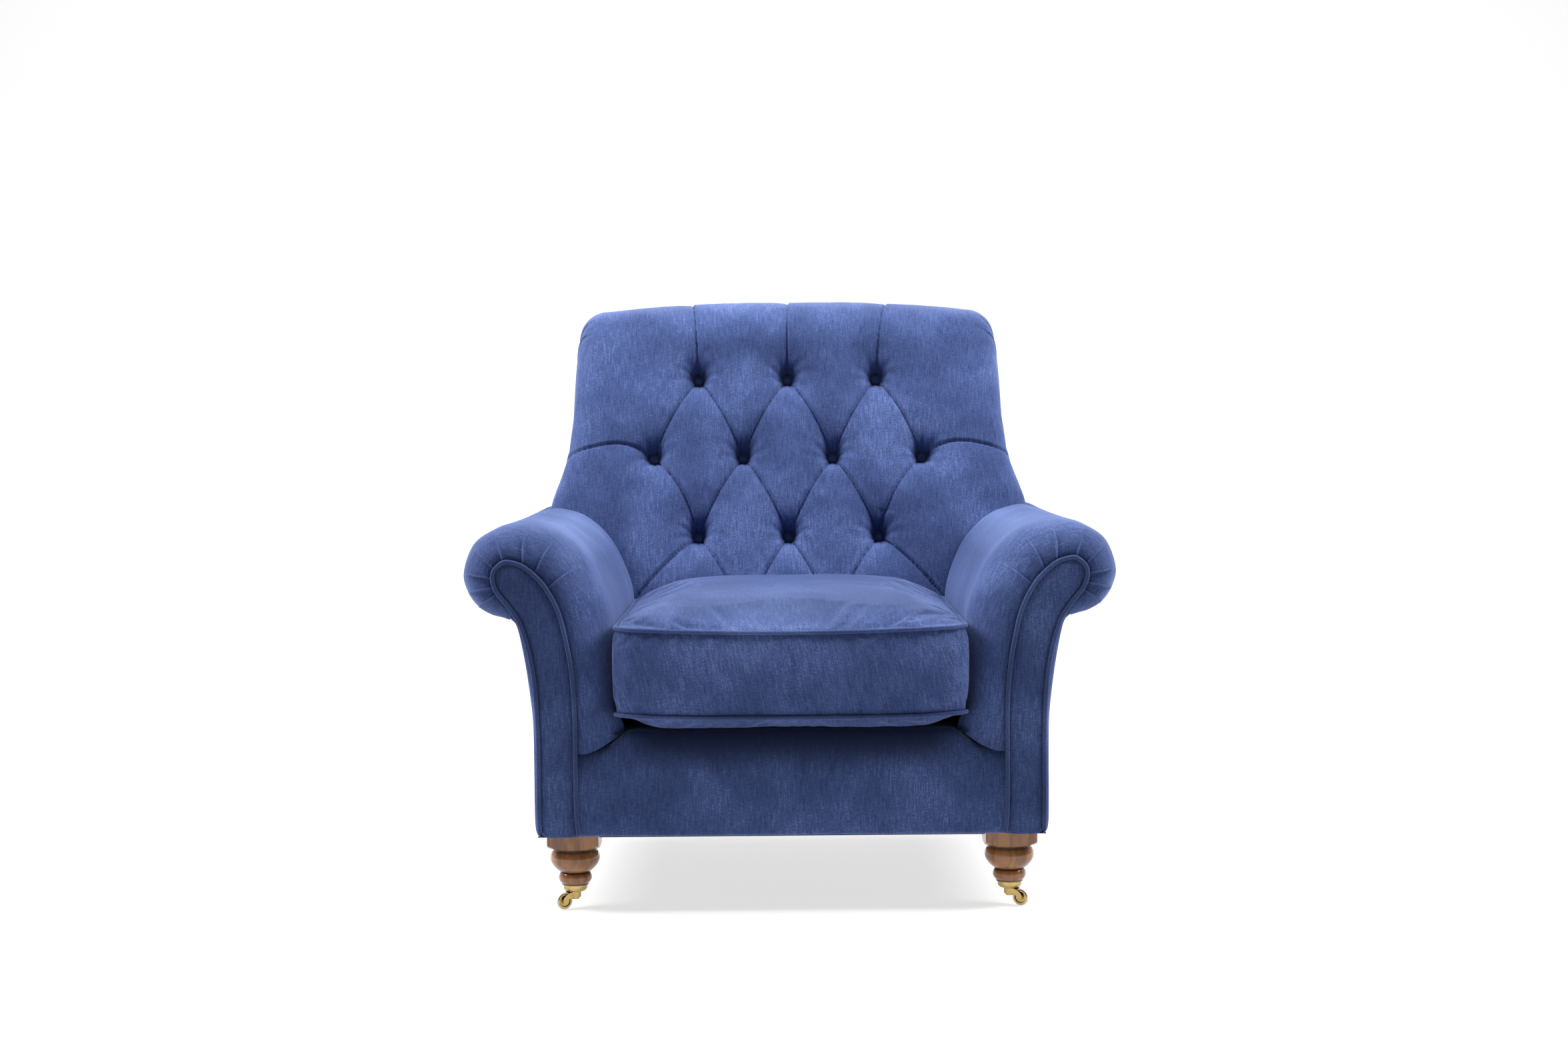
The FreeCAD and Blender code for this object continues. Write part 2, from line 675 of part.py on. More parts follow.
def button_places(rake):
    """Each button's middle on the pad's face: three rows of three, four and three."""
    pitch, places = float(size.button_pitch), []
    lean = math.atan(rake)
    for row, count in enumerate((3, 4, 3)):
        up = float(size.lowest_row) + row * float(size.row_pitch)
        for index in range(count):
            x = (index - (count - 1) / 2) * pitch
            z = float(piping_high) + up * math.cos(lean)
            places.append(Vector(x, float(back_line) + (z - float(piping_high)) * rake, z))
    return places, Vector(0, math.cos(lean), -math.sin(lean))


def back(arm):
    pad, rake = back_profile()
    pad = pad.common(back_outline(-200, 1200))
    places, inward = button_places(rake)
    deep, mouth = float(size.tuft_depth), float(size.tuft_mouth) / 2
    radius, thick = float(size.button_width) / 2, float(size.button_thickness)
    buttons, ties = [], []
    for place in places:
        pit = Part.makeCone(mouth + 6, radius + 1, deep + 9, place - inward * 9, inward)
        pad = pad.cut(pit)
        seat = place + inward * deep
        button = Part.makeCylinder(radius, thick, seat - inward * thick, inward)
        edge = [e for e in button.Edges if e.BoundBox.Center.distanceToPoint(seat - inward * thick) < 0.5]
        buttons.append(button.makeFillet(thick * 0.45, edge[:1]))
        tie_end = back_post_front(seat.z) + 8
        reach = (tie_end - seat.y) / inward.y
        ties.append(Part.makeCylinder(float(size.twine) / 2, reach, seat, inward))
    posts = back_post_shape()
    for tool in (back_hollow(), arm, arm.mirror(Vector(), Vector(1, 0, 0)), *ties):
        pad = pad.cut(tool)
    rail_x = float(side_rail_x) - 2 - float(size.board)
    top_rail = slab(-rail_x, rail_x, float(size.panel_thickness) + 26, float(size.panel_thickness),
                    float(shell_top_z) - 46, float(shell_top_z))
    tack_z, post_face = float(size.platform_height) + 30, float(size.panel_thickness + size.back_post)
    tack_rail = slab(-rail_x, rail_x, post_face, post_face - 26, tack_z, tack_z + 45)
    net_face = post_face + float(size.webbing_thickness)
    hessian = slab(-rail_x - float(size.board), rail_x + float(size.board), net_face + float(size.hessian), net_face,
                   tack_z, float(shell_top_z))
    tie_set = Part.makeCompound(ties)
    keep_pair("back_post", shaped("back_post_timber", posts))
    keep("back_top_rail", shaped("back_top_timber", top_rail))
    keep("back_tack_rail", shaped("back_tack_timber", tack_rail))
    keep("back_webbing", shaped("back_webbing_set", Part.makeCompound([strap.cut(tie_set) for strap in webbing_straps()])))
    keep("back_hessian", shaped("back_hessian_sheet", hessian.cut(tie_set)))
    keep("back_pad", shaped("back_padding", max(pad.Solids, key=lambda solid: solid.Volume)))
    keep("back_buttons", shaped("back_button_set", Part.makeCompound(buttons)))
    keep("button_ties", shaped("button_tie_set", tie_set))
    outside = slab(-float(skin), float(skin), float(size.panel_thickness), 0, float(size.base_height),
                   float(shell_top_z))
    outline = back_outline(-200, 1200).fuse(
        Part.makeBox(2 * float(skin), 1200, float(arm_pad_low) + 10, Vector(-float(skin), -200, 0)))
    wide_outside = slab(-float(skin) - 60, float(skin) + 60, float(size.panel_thickness), 0,
                        float(size.arm_height) - 120, float(shell_top_z))
    keep("outside_back", shaped("outside_back_panel", outside.fuse(wide_outside).removeSplitter().common(outline)))


def webbing_straps():
    """Elastic straps across the front of the back posts."""
    x = float(side_rail_x) - 2
    front_face = float(size.panel_thickness + size.back_post)
    low, high = float(size.platform_height) + 80, float(shell_top_z) - 30
    wide = float(size.webbing_width)
    return [slab(-x, x, front_face + float(size.webbing_thickness), front_face, z, z + wide)
            for z in (low + step * (high - wide - low) / 4 for step in range(5))]


# ---------------------------------------------------------------- loose seat cushion
def cushion_block(inset, crown, belly):
    """The cushion's closed form: square sides, an arched top and a shallow arched underside."""
    proud = float(size.piping) / 2 + inset
    half = float(seat_half - size.cushion_gap) - proud
    y_low, y_high = float(front) + proud, float(back_line) - 1 - proud
    low, high = float(piping_low) + inset, float(piping_high) - inset
    middle = (y_low + y_high) / 2

    def at(y, z):
        return Vector(-half, y, z)

    edges = [line(at(y_low, low), at(y_low, high)), bow(at(y_low, high), at(middle, high + crown), at(y_high, high)),
             line(at(y_high, high), at(y_high, low)), bow(at(y_high, low), at(middle, low - belly), at(y_low, low))]
    block = prism(edges, Vector(2 * half, 0, 0))
    upright = [e for e in block.Edges if abs(e.Vertexes[0].X - e.Vertexes[1].X) < 0.01
               and abs(e.Vertexes[0].Y - e.Vertexes[1].Y) < 0.01]
    return block.makeFillet(max(float(size.cushion_round) - inset, 2), upright)


def cushion_cord(z):
    """A closed loop of piping round the cushion at one height."""
    half = float(seat_half - size.cushion_gap) - float(size.piping) / 2
    y_low, y_high = float(front) + float(size.piping) / 2, float(back_line) - 1 - float(size.piping) / 2
    r = float(size.cushion_round)
    k = r * (1 - math.sqrt(0.5))
    corners = [(half, y_low, -1, 1), (half, y_high, -1, -1), (-half, y_high, 1, -1), (-half, y_low, 1, 1)]
    points = []
    for index, (x, y, sx, sy) in enumerate(corners):
        along = [Vector(x + sx * r, y, z), Vector(x + sx * k, y + sy * k, z), Vector(x, y + sy * r, z)]
        points.append(along if index % 2 == 0 else along[::-1])
    edges = []
    for index, arc in enumerate(points):
        edges.append(bow(*arc))
        edges.append(line(arc[2], points[(index + 1) % 4][0]))
    path = Part.Wire(edges)
    start = points[0][0]
    section = Part.Wire(Part.makeCircle(float(size.piping) / 2, start, Vector(1, 0, 0)))
    return path.makePipeShell([section], True, False, 2)


def cushion():
    cords = [cushion_cord(float(z)) for z in (piping_low, piping_high)]
    cover = cushion_block(0, float(size.cushion_crown), float(size.cushion_belly))
    core = cushion_block(float(size.cover_thickness), float(size.cushion_crown) - 2, float(size.cushion_belly) - 2)
    deep = 1.5
    zip_y = float(back_line) - 1 - float(size.piping) / 2 - deep
    zip_z = float(piping_low + size.cushion_border / 2 - size.zip_width / 2)
    zip_half = float(seat_half - size.cushion_gap - size.piping / 2 - size.zip_margin)
    zip_tape = Part.makeBox(2 * zip_half, deep, float(size.zip_width), Vector(-zip_half, zip_y, zip_z))
    for tool in (core, *cords, zip_tape):
        cover = cover.cut(tool)
    keep("cushion_zip", shaped("cushion_zip_tape", zip_tape))
    keep("seat_cushion", shaped("seat_cushion_cover", cover))
    keep("cushion_core", shaped("cushion_foam", core))
    keep("cushion_piping", shaped("cushion_cords", Part.makeCompound(cords)))


# ---------------------------------------------------------------- legs
def front_leg(bolt_low):
    """Turned from a square block: a pommel under the block, a belly, a ring and a spigot for the castor cup."""
    block, belly, ring, waist = (w / 2 for w in (size.leg_block, size.leg_belly, size.leg_ring, size.leg_waist))
    top = size.base_height
    collar = size.cup_floor + size.cup_height
    spigot = size.cup_width / 2 - 1.5
    corner = block * 1.42
    shank = top - collar  # the turned length, shared out between the mouldings
    foot = waist * 0.936
    start = (0, top)
    steps = [(0, size.cup_floor + 3), (spigot, size.cup_floor + 3), (spigot, collar), (foot, collar),
             (foot, collar + 2), (waist, collar + shank * 0.242, ring * 0.26 + shank * 0.06),
             (belly - 2.7, collar + shank * 0.401, belly * 1.1), (belly - 3.6, collar + shank * 0.661, belly * 0.47),
             (belly - 4, collar + shank * 0.68), (block, collar + shank * 0.73), (corner, top - shank * 0.17, block * 0.6),
             (corner, top)]
    turning = turned("front_leg_turning", start, steps)
    move_to(turning, -leg_x, leg_y, 0)
    square = box("front_leg_square", (-leg_x - block, leg_y - block, 0), (-leg_x + block, leg_y + block, top))
    leg = doc.addObject("Part::Common", "front_leg_form")
    leg.Base, leg.Tool = turning, square
    bolt = cylinder("front_bolt_hole", size.bolt_width, (-leg_x, leg_y, bolt_low), size.base_height - bolt_low)
    screw = cylinder("pivot_hole", size.pivot_width, (-leg_x, leg_y, size.cup_floor), 18)
    return cut("front_leg_wood", leg, fuse("front_leg_holes", bolt, screw))


def rear_leg(bolt_low):
    """Plain square leg, tapered and raked back."""
    wires = []
    for z, width, shift in ((0, size.rear_leg_foot, size.rear_leg_splay), (size.base_height, size.rear_leg_top, 0)):
        half, cx, cy = float(width) / 2, -float(rear_leg_x), float(rear_leg_y) + float(shift)
        corners = [(-half, -half), (half, -half), (half, half), (-half, half), (-half, -half)]
        wires.append(Part.Wire(polyline([point(cx + x, cy + y, z) for x, y in corners])))
    hole = Part.makeCylinder(float(size.bolt_width) / 2, float(size.base_height - bolt_low),
                             point(-rear_leg_x, rear_leg_y, bolt_low))
    return shaped("rear_leg_wood", Part.makeLoft(wires, True, True).cut(hole))


def legs():
    bolt_low = Size(leg_bolts())
    keep_pair("front_leg", front_leg(bolt_low))
    keep_pair("rear_leg", rear_leg(bolt_low))


# ---------------------------------------------------------------- castors
def castor_cup():
    """A turned brass cup on the leg's spigot, its lower edge well rounded."""
    outer, wall, low = size.cup_width / 2, 1.5, size.cup_floor
    top = low + size.cup_height
    pin = size.pivot_width / 2
    steps = [(outer - 6.5, low), (outer, low + 6.5, 6.5), (outer, top), (outer - wall, top), (outer - wall, low + 3),
             (pin, low + 3)]
    cup = turned("cup_turning", (pin, low), steps)
    return move_to(cup, -leg_x, leg_y, 0)


def castor_pivot():
    """The swivel pin: screwed up into the leg, with a head that carries the fork."""
    pin, head = size.pivot_width / 2, size.pivot_width / 2 + 2.5
    low = size.wheel_width / 2 + 1
    steps = [(head - 0.8, low), (head, low + 0.8), (head, low + 3), (pin, low + 3), (pin, size.cup_floor + 18),
             (0, size.cup_floor + 18)]
    pivot = turned("pivot_turning", (0, low), steps)
    return move_to(pivot, -leg_x, leg_y, 0)


def castor_fork():
    """Boss and two cheeks that sweep down to the axle, drawn along its trail and turned outward."""
    axle_z = size.wheel_width / 2
    low, high = axle_z + 4.3, size.cup_floor - 0.3
    tip = size.trail + 4.3
    steps = [(7, low), (size.trail - 4.3, axle_z + 1, -9), (size.trail - 3.5, axle_z - 2.5),
             (size.trail + 3.5, axle_z - 2.5, 4.4), (tip, axle_z + 1), (tip - 1.5, axle_z + 5), (9, high, 22)]
    fork = padded_outline("fork_side", "XZ_Plane", (-7, high), [(-7, low), *steps], size.fork_width, True)
    slot = draw(fork, "wheel_slot", "XZ_Plane", (6.6, 0), [(tip + 5, 0), (tip + 5, high + 5), (6.6, high + 5)])
    pocket = fork.newObject("PartDesign::Pocket", "wheel_slot_cut")
    pocket.Profile = slot
    bind(pocket, Length=size.fork_slot)
    pocket.Midplane = True
    swivel = cylinder("swivel_bore", size.pivot_width + 2 * size.running_gap, (0, 0, 0), high + 5)
    axle = doc.addObject("Part::Cylinder", "axle_bore")
    bind(axle, Radius=size.axle_width / 2, Height=size.fork_width + 2)
    axle.Placement.Rotation = Rotation(Vector(1, 0, 0), 90)
    move_to(axle, size.trail, size.fork_width / 2 + 1, axle_z)
    narrow = doc.addObject("Part::Common", "fork_narrowed")
    rounding = cylinder("fork_boss", size.fork_width, (0, 0, 0), high + 1)
    ahead = box("fork_cheeks", (0, -size.fork_width / 2, 0), (tip + 5, size.fork_width / 2, high + 1))
    narrow.Base, narrow.Tool = fork, fuse("fork_outline", rounding, ahead)
    return turn_out(cut("fork_brass", narrow, fuse("fork_bores", swivel, axle)))


def turn_out(obj):
    """Puts a castor piece that was drawn along +X under the left leg, trailing outward and to the front."""
    obj.Placement.Rotation = Rotation(Vector(0, 0, 1), 180 + float(size.castor_turn))
    return move_to(obj, -leg_x, leg_y, 0)


def castor_wheel_parts():
    """Axle, brass hub with recessed sides, and the pale tread round it. Each is turned about Z, then laid over."""
    radius, half = size.wheel_width / 2, size.wheel_thickness / 2
    inner, bore = radius - size.tread, size.axle_width / 2 + size.running_gap
    hub_steps = [(inner, -half + 1), (inner, half - 1), (inner - 1, half), (inner - 2.5, half), (inner - 3.5, half - 2),
                 (bore + 2.5, half - 2), (bore + 2.5, half), (bore, half), (bore, -half), (bore + 2.5, -half),
                 (bore + 2.5, -half + 2), (inner - 3.5, -half + 2), (inner - 2.5, -half)]
    hub = turned("hub_turning", (inner - 1, -half), hub_steps)
    tread_steps = [(inner, -half + 1), (radius - 0.7, -half + 1), (radius, -half + 2.2), (radius, half - 2.2),
                   (radius - 0.7, half - 1), (inner, half - 1)]
    tread = turned("tread_turning", tread_steps[0], tread_steps[1:])
    axle = cylinder("axle_rod", size.axle_width, (0, 0, -size.fork_width / 2), size.fork_width)
    return hub, tread, axle


def lay_over(label, obj):
    """A castor piece turned about Z, laid on the axle's line under the left leg."""
    turn = math.radians(180 + float(size.castor_turn))
    doc.recompute()
    shape = obj.Shape.copy()
    shape.rotate(Vector(), Vector(1, 0, 0), 90)
    shape.rotate(Vector(), Vector(0, 0, 1), 180 + float(size.castor_turn))
    reach = float(size.trail)
    shape.translate(point(-leg_x + reach * math.cos(turn), leg_y + reach * math.sin(turn), size.wheel_width / 2))
    return shaped(f"{label}_placed", shape)


def castors():
    keep_pair("castor_cup", castor_cup())
    keep_pair("castor_pivot", castor_pivot())
    keep_pair("castor_fork", castor_fork())
    hub, tread, axle = castor_wheel_parts()
    keep_pair("castor_hub", lay_over("castor_hub", hub))
    keep_pair("castor_tread", lay_over("castor_tread", tread))
    keep_pair("castor_axle", lay_over("castor_axle", axle))


# ---------------------------------------------------------------- check and write
def write_parts():
    doc.recompute()
    for obj in doc.Objects:
        if "Invalid" in obj.State or "Error" in obj.State:
            raise RuntimeError(f"{obj.Name} is {obj.State}")
    os.makedirs("parts", exist_ok=True)
    for name, obj in finished.items():
        shape = obj.Shape
        if shape.isNull() or not shape.isValid() or not shape.Solids:
            raise RuntimeError(f"{name} has no valid solid")
        if min(s.Volume for s in shape.Solids) <= 0:
            raise RuntimeError(f"{name} has a solid turned inside out")
    for name, obj in finished.items():
        solids = obj.Shape.Solids
        whole = solids[0] if len(solids) == 1 else Part.makeCompound(solids)
        whole.exportStep(f"parts/{name}.step")
    print(f"{len(finished)} nodes written")


screws = block_screws()
seat_frame(screws)
corner_blocks(screws)
seat_springs()
seat_platform()
front_border()
dust_cover()
back(arms())
cushion()
legs()
castors()
write_parts()
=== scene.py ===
import json
import math

import bpy
import bmesh
import numpy as np
from mathutils import Matrix, Vector


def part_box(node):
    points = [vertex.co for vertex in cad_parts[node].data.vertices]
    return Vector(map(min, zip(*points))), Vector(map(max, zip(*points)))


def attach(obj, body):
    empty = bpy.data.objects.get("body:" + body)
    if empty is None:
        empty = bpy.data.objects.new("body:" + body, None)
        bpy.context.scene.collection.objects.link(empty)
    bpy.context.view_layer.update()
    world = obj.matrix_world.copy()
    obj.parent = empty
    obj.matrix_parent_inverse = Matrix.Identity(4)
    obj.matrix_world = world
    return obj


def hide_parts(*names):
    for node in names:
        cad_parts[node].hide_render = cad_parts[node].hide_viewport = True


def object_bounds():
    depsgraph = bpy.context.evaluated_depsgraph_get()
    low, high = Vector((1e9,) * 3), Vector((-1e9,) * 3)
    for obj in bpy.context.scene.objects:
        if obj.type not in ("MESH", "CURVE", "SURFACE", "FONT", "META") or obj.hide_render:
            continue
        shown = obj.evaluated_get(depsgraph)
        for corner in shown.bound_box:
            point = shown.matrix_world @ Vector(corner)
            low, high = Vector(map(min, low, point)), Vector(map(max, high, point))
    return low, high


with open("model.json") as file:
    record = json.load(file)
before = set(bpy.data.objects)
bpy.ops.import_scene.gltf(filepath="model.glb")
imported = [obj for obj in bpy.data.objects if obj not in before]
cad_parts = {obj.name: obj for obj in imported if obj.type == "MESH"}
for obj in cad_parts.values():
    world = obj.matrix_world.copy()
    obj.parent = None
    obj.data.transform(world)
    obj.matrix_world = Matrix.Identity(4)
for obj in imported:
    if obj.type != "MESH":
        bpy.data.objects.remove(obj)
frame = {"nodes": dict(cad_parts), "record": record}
cadNodes = frame["nodes"]
cadLow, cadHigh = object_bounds()
mm = 0.001

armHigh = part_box("arm_pad_left")[1]
facingLow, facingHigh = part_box("arm_facing_left")
backLow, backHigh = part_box("back_pad")
shellLow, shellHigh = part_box("outside_back")
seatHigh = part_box("seat_cushion")[1]
cordLow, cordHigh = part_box("cushion_piping")
borderLow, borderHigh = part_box("front_border")
platformLow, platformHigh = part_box("seat_platform")

seatHalf = -armHigh.x  # middle of the chair to the inside of an arm
armCrest = armHigh.z
pipingLine = cordHigh.z - 3 * mm  # top piping of the cushion, where the back starts to lean
random = np.random.default_rng(11)


def rounded(points):
    # a smooth curve through the points, forty steps to each span
    ends = np.vstack([2 * points[0] - points[1], points, 2 * points[-1] - points[-2]])
    t = np.linspace(0, 1, 40, endpoint=False)[:, None]
    runs = [0.5 * (2 * b + (c - a) * t + (2 * a - 5 * b + 4 * c - d) * t ** 2
                   + (3 * b - a - 3 * c + d) * t ** 3)
            for a, b, c, d in zip(ends, ends[1:], ends[2:], ends[3:])]
    return np.vstack([*runs, [points[-1]]])


def lengths(line):
    # how far along the line each of its points lies
    return np.concatenate([[0], np.cumsum(np.linalg.norm(np.diff(line, axis=0), axis=1))])


def evenly(line, spacing, measure=None):
    # measure picks the columns whose length counts, so that paired lines stay paired
    far = lengths(line if measure is None else line[:, measure])
    count = max(4, int(round(far[-1] / spacing)) + 1)
    want = np.linspace(0, far[-1], count)
    return np.stack([np.interp(want, far, line[:, k]) for k in range(line.shape[1])], 1)


def smoothLine(points, spacing):
    return evenly(rounded(np.array(points, float)), spacing)


def smoothStep(a, b, x):
    t = np.clip((x - a) / (b - a), 0, 1)
    return t * t * (3 - 2 * t)


def gridNormals(grid):
    across = np.gradient(grid, axis=0)
    along = np.gradient(grid, axis=1)
    normal = np.cross(across, along)
    return normal / np.maximum(np.linalg.norm(normal, axis=2, keepdims=True), 1e-9)


def gridMesh(name, grid, flat=None, extra=None, flip=False, loopRows=False, turned=False):
    # a skin over a grid of points. flat is each point's place on the uncut cloth, in metres; turned lays the
    # threads the other way
    rows, columns = grid.shape[:2]
    index = np.arange(rows * columns).reshape(rows, columns)
    top = np.vstack([index, index[:1]]) if loopRows else index
    a, b, c, d = top[:-1, :-1], top[1:, :-1], top[1:, 1:], top[:-1, 1:]
    quads = np.stack([a, b, c, d], -1).reshape(-1, 4)
    if flip:
        quads = quads[:, ::-1]
    mesh = bpy.data.meshes.new(name)
    mesh.from_pydata(grid.reshape(-1, 3).tolist(), [], quads.tolist())
    obj = bpy.data.objects.new(name, mesh)
    bpy.context.scene.collection.objects.link(obj)
    if flat is None:
        flat = np.stack(np.meshgrid(np.arange(rows) * 3 * mm, np.arange(columns) * 3 * mm, indexing="ij"), -1)
    cloth = flat.reshape(-1, 2)
    layWeave(mesh, cloth[:, ::-1] if turned else cloth)
    setVector(mesh, "cloth", np.hstack([cloth, np.zeros((len(cloth), 1))]))
    normal = gridNormals(grid).reshape(-1, 3) * (-1 if flip else 1)
    setVector(mesh, "outward", normal)
    for key, values in (extra or {}).items():
        attribute = mesh.attributes.new(key, "FLOAT", "POINT")
        attribute.data.foreach_set("value", np.asarray(values, np.float32).ravel())
    mesh.polygons.foreach_set("use_smooth", np.ones(len(mesh.polygons), bool))
    return obj


def layWeave(mesh, cloth):
    # the UV map that the weave follows, from each point's place on the cloth
    uv = mesh.uv_layers.new(name="UVMap")
    corner = np.zeros(len(mesh.loops), int)
    mesh.loops.foreach_get("vertex_index", corner)
    uv.data.foreach_set("uv", cloth[corner].astype(np.float32).ravel())


def setVector(mesh, key, values):
    attribute = mesh.attributes.get(key) or mesh.attributes.new(key, "FLOAT_VECTOR", "POINT")
    attribute.data.foreach_set("vector", np.asarray(values, np.float32).ravel())


def closeHoles(obj):
    work = bmesh.new()
    work.from_mesh(obj.data)
    bmesh.ops.remove_doubles(work, verts=work.verts, dist=1e-6)
    edges = [e for e in work.edges if len(e.link_faces) == 1]
    bmesh.ops.holes_fill(work, edges=edges, sides=0)
    bmesh.ops.recalc_face_normals(work, faces=work.faces)
    work.to_mesh(obj.data)
    work.free()


class Value:
    # a socket that can be added, multiplied and compared like a number
    def __init__(self, tree, socket):
        self.tree, self.socket = tree, socket

    def math(self, kind, *others):
        return addNode(self.tree, "ShaderNodeMath", {"operation": kind}, dict(enumerate((self, *others))))

    def __add__(self, other): return self.math("ADD", other)
    def __radd__(self, other): return self.math("ADD", other)
    def __sub__(self, other): return self.math("SUBTRACT", other)
    def __mul__(self, other): return self.math("MULTIPLY", other)
    def __truediv__(self, other): return self.math("DIVIDE", other)
    def __pow__(self, other): return self.math("POWER", other)
    def root(self): return self.math("SQRT")
    def sine(self): return self.math("SINE")
    def above(self, other): return self.math("GREATER_THAN", other)
    def least(self, other): return self.math("MINIMUM", other)
    def most(self, other): return self.math("MAXIMUM", other)
    def clamp(self): return self.least(1.0).most(0.0)
    def bell(self, width): return ((self / width) ** 2.0 * -1.0).math("EXPONENT")
    def decay(self, width): return (self / width * -1.0).math("EXPONENT")

    def __rsub__(self, other):
        return addNode(self.tree, "ShaderNodeMath", {"operation": "SUBTRACT"}, {0: other, 1: self})

    def ramp(self, low, high, start=0.0, end=1.0):
        return addNode(self.tree, "ShaderNodeMapRange", {"interpolation_type": "SMOOTHSTEP"},
                       {0: self, 1: low, 2: high, 3: start, 4: end})


def feed(tree, place, item):
    if isinstance(item, Value):
        tree.links.new(item.socket, place)
    elif item is not None:
        place.default_value = item


def feedAll(tree, node, sockets):
    for key, item in sockets.items():
        feed(tree, node.inputs[key], item)


def addNode(tree, kind, settings=None, sockets=None, output=0):
    # any other node: its settings first, then its sockets, by name or by number
    node = tree.nodes.new(kind)
    for key, item in (settings or {}).items():
        setattr(node, key, item)
    feedAll(tree, node, sockets or {})
    return Value(tree, node.outputs[output])


def vectorMath(tree, kind, a, b):
    return addNode(tree, "ShaderNodeVectorMath", {"operation": kind}, {0: a, 3 if kind == "SCALE" else 1: b})


def xyz(tree, vector):
    parts = addNode(tree, "ShaderNodeSeparateXYZ", None, {0: vector}).socket.node
    return [Value(tree, out) for out in parts.outputs]


def joined(tree, x, y, z):
    return addNode(tree, "ShaderNodeCombineXYZ", None, {0: x, 1: y, 2: z})


def noise(tree, vector, scale, detail=3.0, rough=0.55, warp=0.0):
    return addNode(tree, "ShaderNodeTexNoise", None, {
        "Vector": vector, "Scale": scale, "Detail": detail, "Roughness": rough, "Distortion": warp})


def geometryTree(name, inputs):
    # inputs: (name, kind, default). Returns the tree, its inputs as values, and the sockets' identifiers
    tree = bpy.data.node_groups.new(name, "GeometryNodeTree")
    identifiers = {}
    tree.interface.new_socket("Geometry", in_out="INPUT", socket_type="NodeSocketGeometry")
    tree.interface.new_socket("Geometry", in_out="OUTPUT", socket_type="NodeSocketGeometry")
    for key, kind, default in inputs:
        socket = tree.interface.new_socket(key, in_out="INPUT", socket_type=f"NodeSocket{kind}")
        if default is not None:
            socket.default_value = default
        identifiers[key] = socket.identifier
    entry = tree.nodes.new("NodeGroupInput")
    values = {out.name: Value(tree, out) for out in entry.outputs if out.name}
    return tree, values, identifiers


def endTree(tree, geometry, material):
    # every tree ends in real geometry with its material on
    real = addNode(tree, "GeometryNodeRealizeInstances", None, {0: geometry})
    painted = addNode(tree, "GeometryNodeSetMaterial", None, {"Geometry": real, "Material": material})
    feed(tree, tree.nodes.new("NodeGroupOutput").inputs[0], painted)


def grown(obj, made, values):
    # runs a tree on an object and keeps the result as a plain mesh
    tree, identifiers = made
    modifier = obj.modifiers.new(tree.name, "NODES")
    modifier.node_group = tree
    for key, value in values.items():
        modifier[identifiers[key]] = value
    bpy.context.view_layer.update()
    graph = bpy.context.evaluated_depsgraph_get()
    mesh = bpy.data.meshes.new_from_object(
        obj.evaluated_get(graph), preserve_all_data_layers=True, depsgraph=graph)
    obj.modifiers.clear()
    if obj.type == "MESH":
        obj.data = mesh
        return obj
    name = obj.name
    bpy.data.objects.remove(obj)
    new = bpy.data.objects.new(name, mesh)
    bpy.context.scene.collection.objects.link(new)
    return new


def newMaterial(name):
    material = bpy.data.materials.new(name)
    material.use_nodes = True
    tree = material.node_tree
    shader = tree.nodes["Principled BSDF"]
    return material, tree, shader


def mixColour(tree, amount, a, b, kind="MIX"):
    a, b = ((*item, 1.0) if isinstance(item, tuple) else item for item in (a, b))
    return addNode(tree, "ShaderNodeMix", {"data_type": "RGBA", "blend_type": kind}, {0: amount, 6: a, 7: b}, 2)


def bump(tree, height, strength, distance):
    return addNode(tree, "ShaderNodeBump", None, {"Strength": strength, "Distance": distance, "Height": height})


def objectPlace(tree):
    return addNode(tree, "ShaderNodeTexCoord", output="Object")


def clothPlace(tree):
    return addNode(tree, "ShaderNodeUVMap", {"uv_map": "UVMap"})


velvetLook = {
    "deep": (0.017, 0.030, 0.092), "mid": (0.037, 0.061, 0.172), "brushed": (0.088, 0.132, 0.320),
    # the darkest colour on the next line is painted shade, mixed in where a mesh asks for it
    "paintedShadowColour": (0.007, 0.013, 0.045), "patch": 9.0, "stroke": (240.0, 30.0, 1.0), "heather": 420.0,
    "slub": (800.0, 40.0, 1.0), "weft": (90.0, 800.0, 1.0),
    "sheen": 0.5, "sheenRough": 0.38, "sheenTint": (0.42, 0.55, 1.0, 1.0), "gloss": 0.18,
}


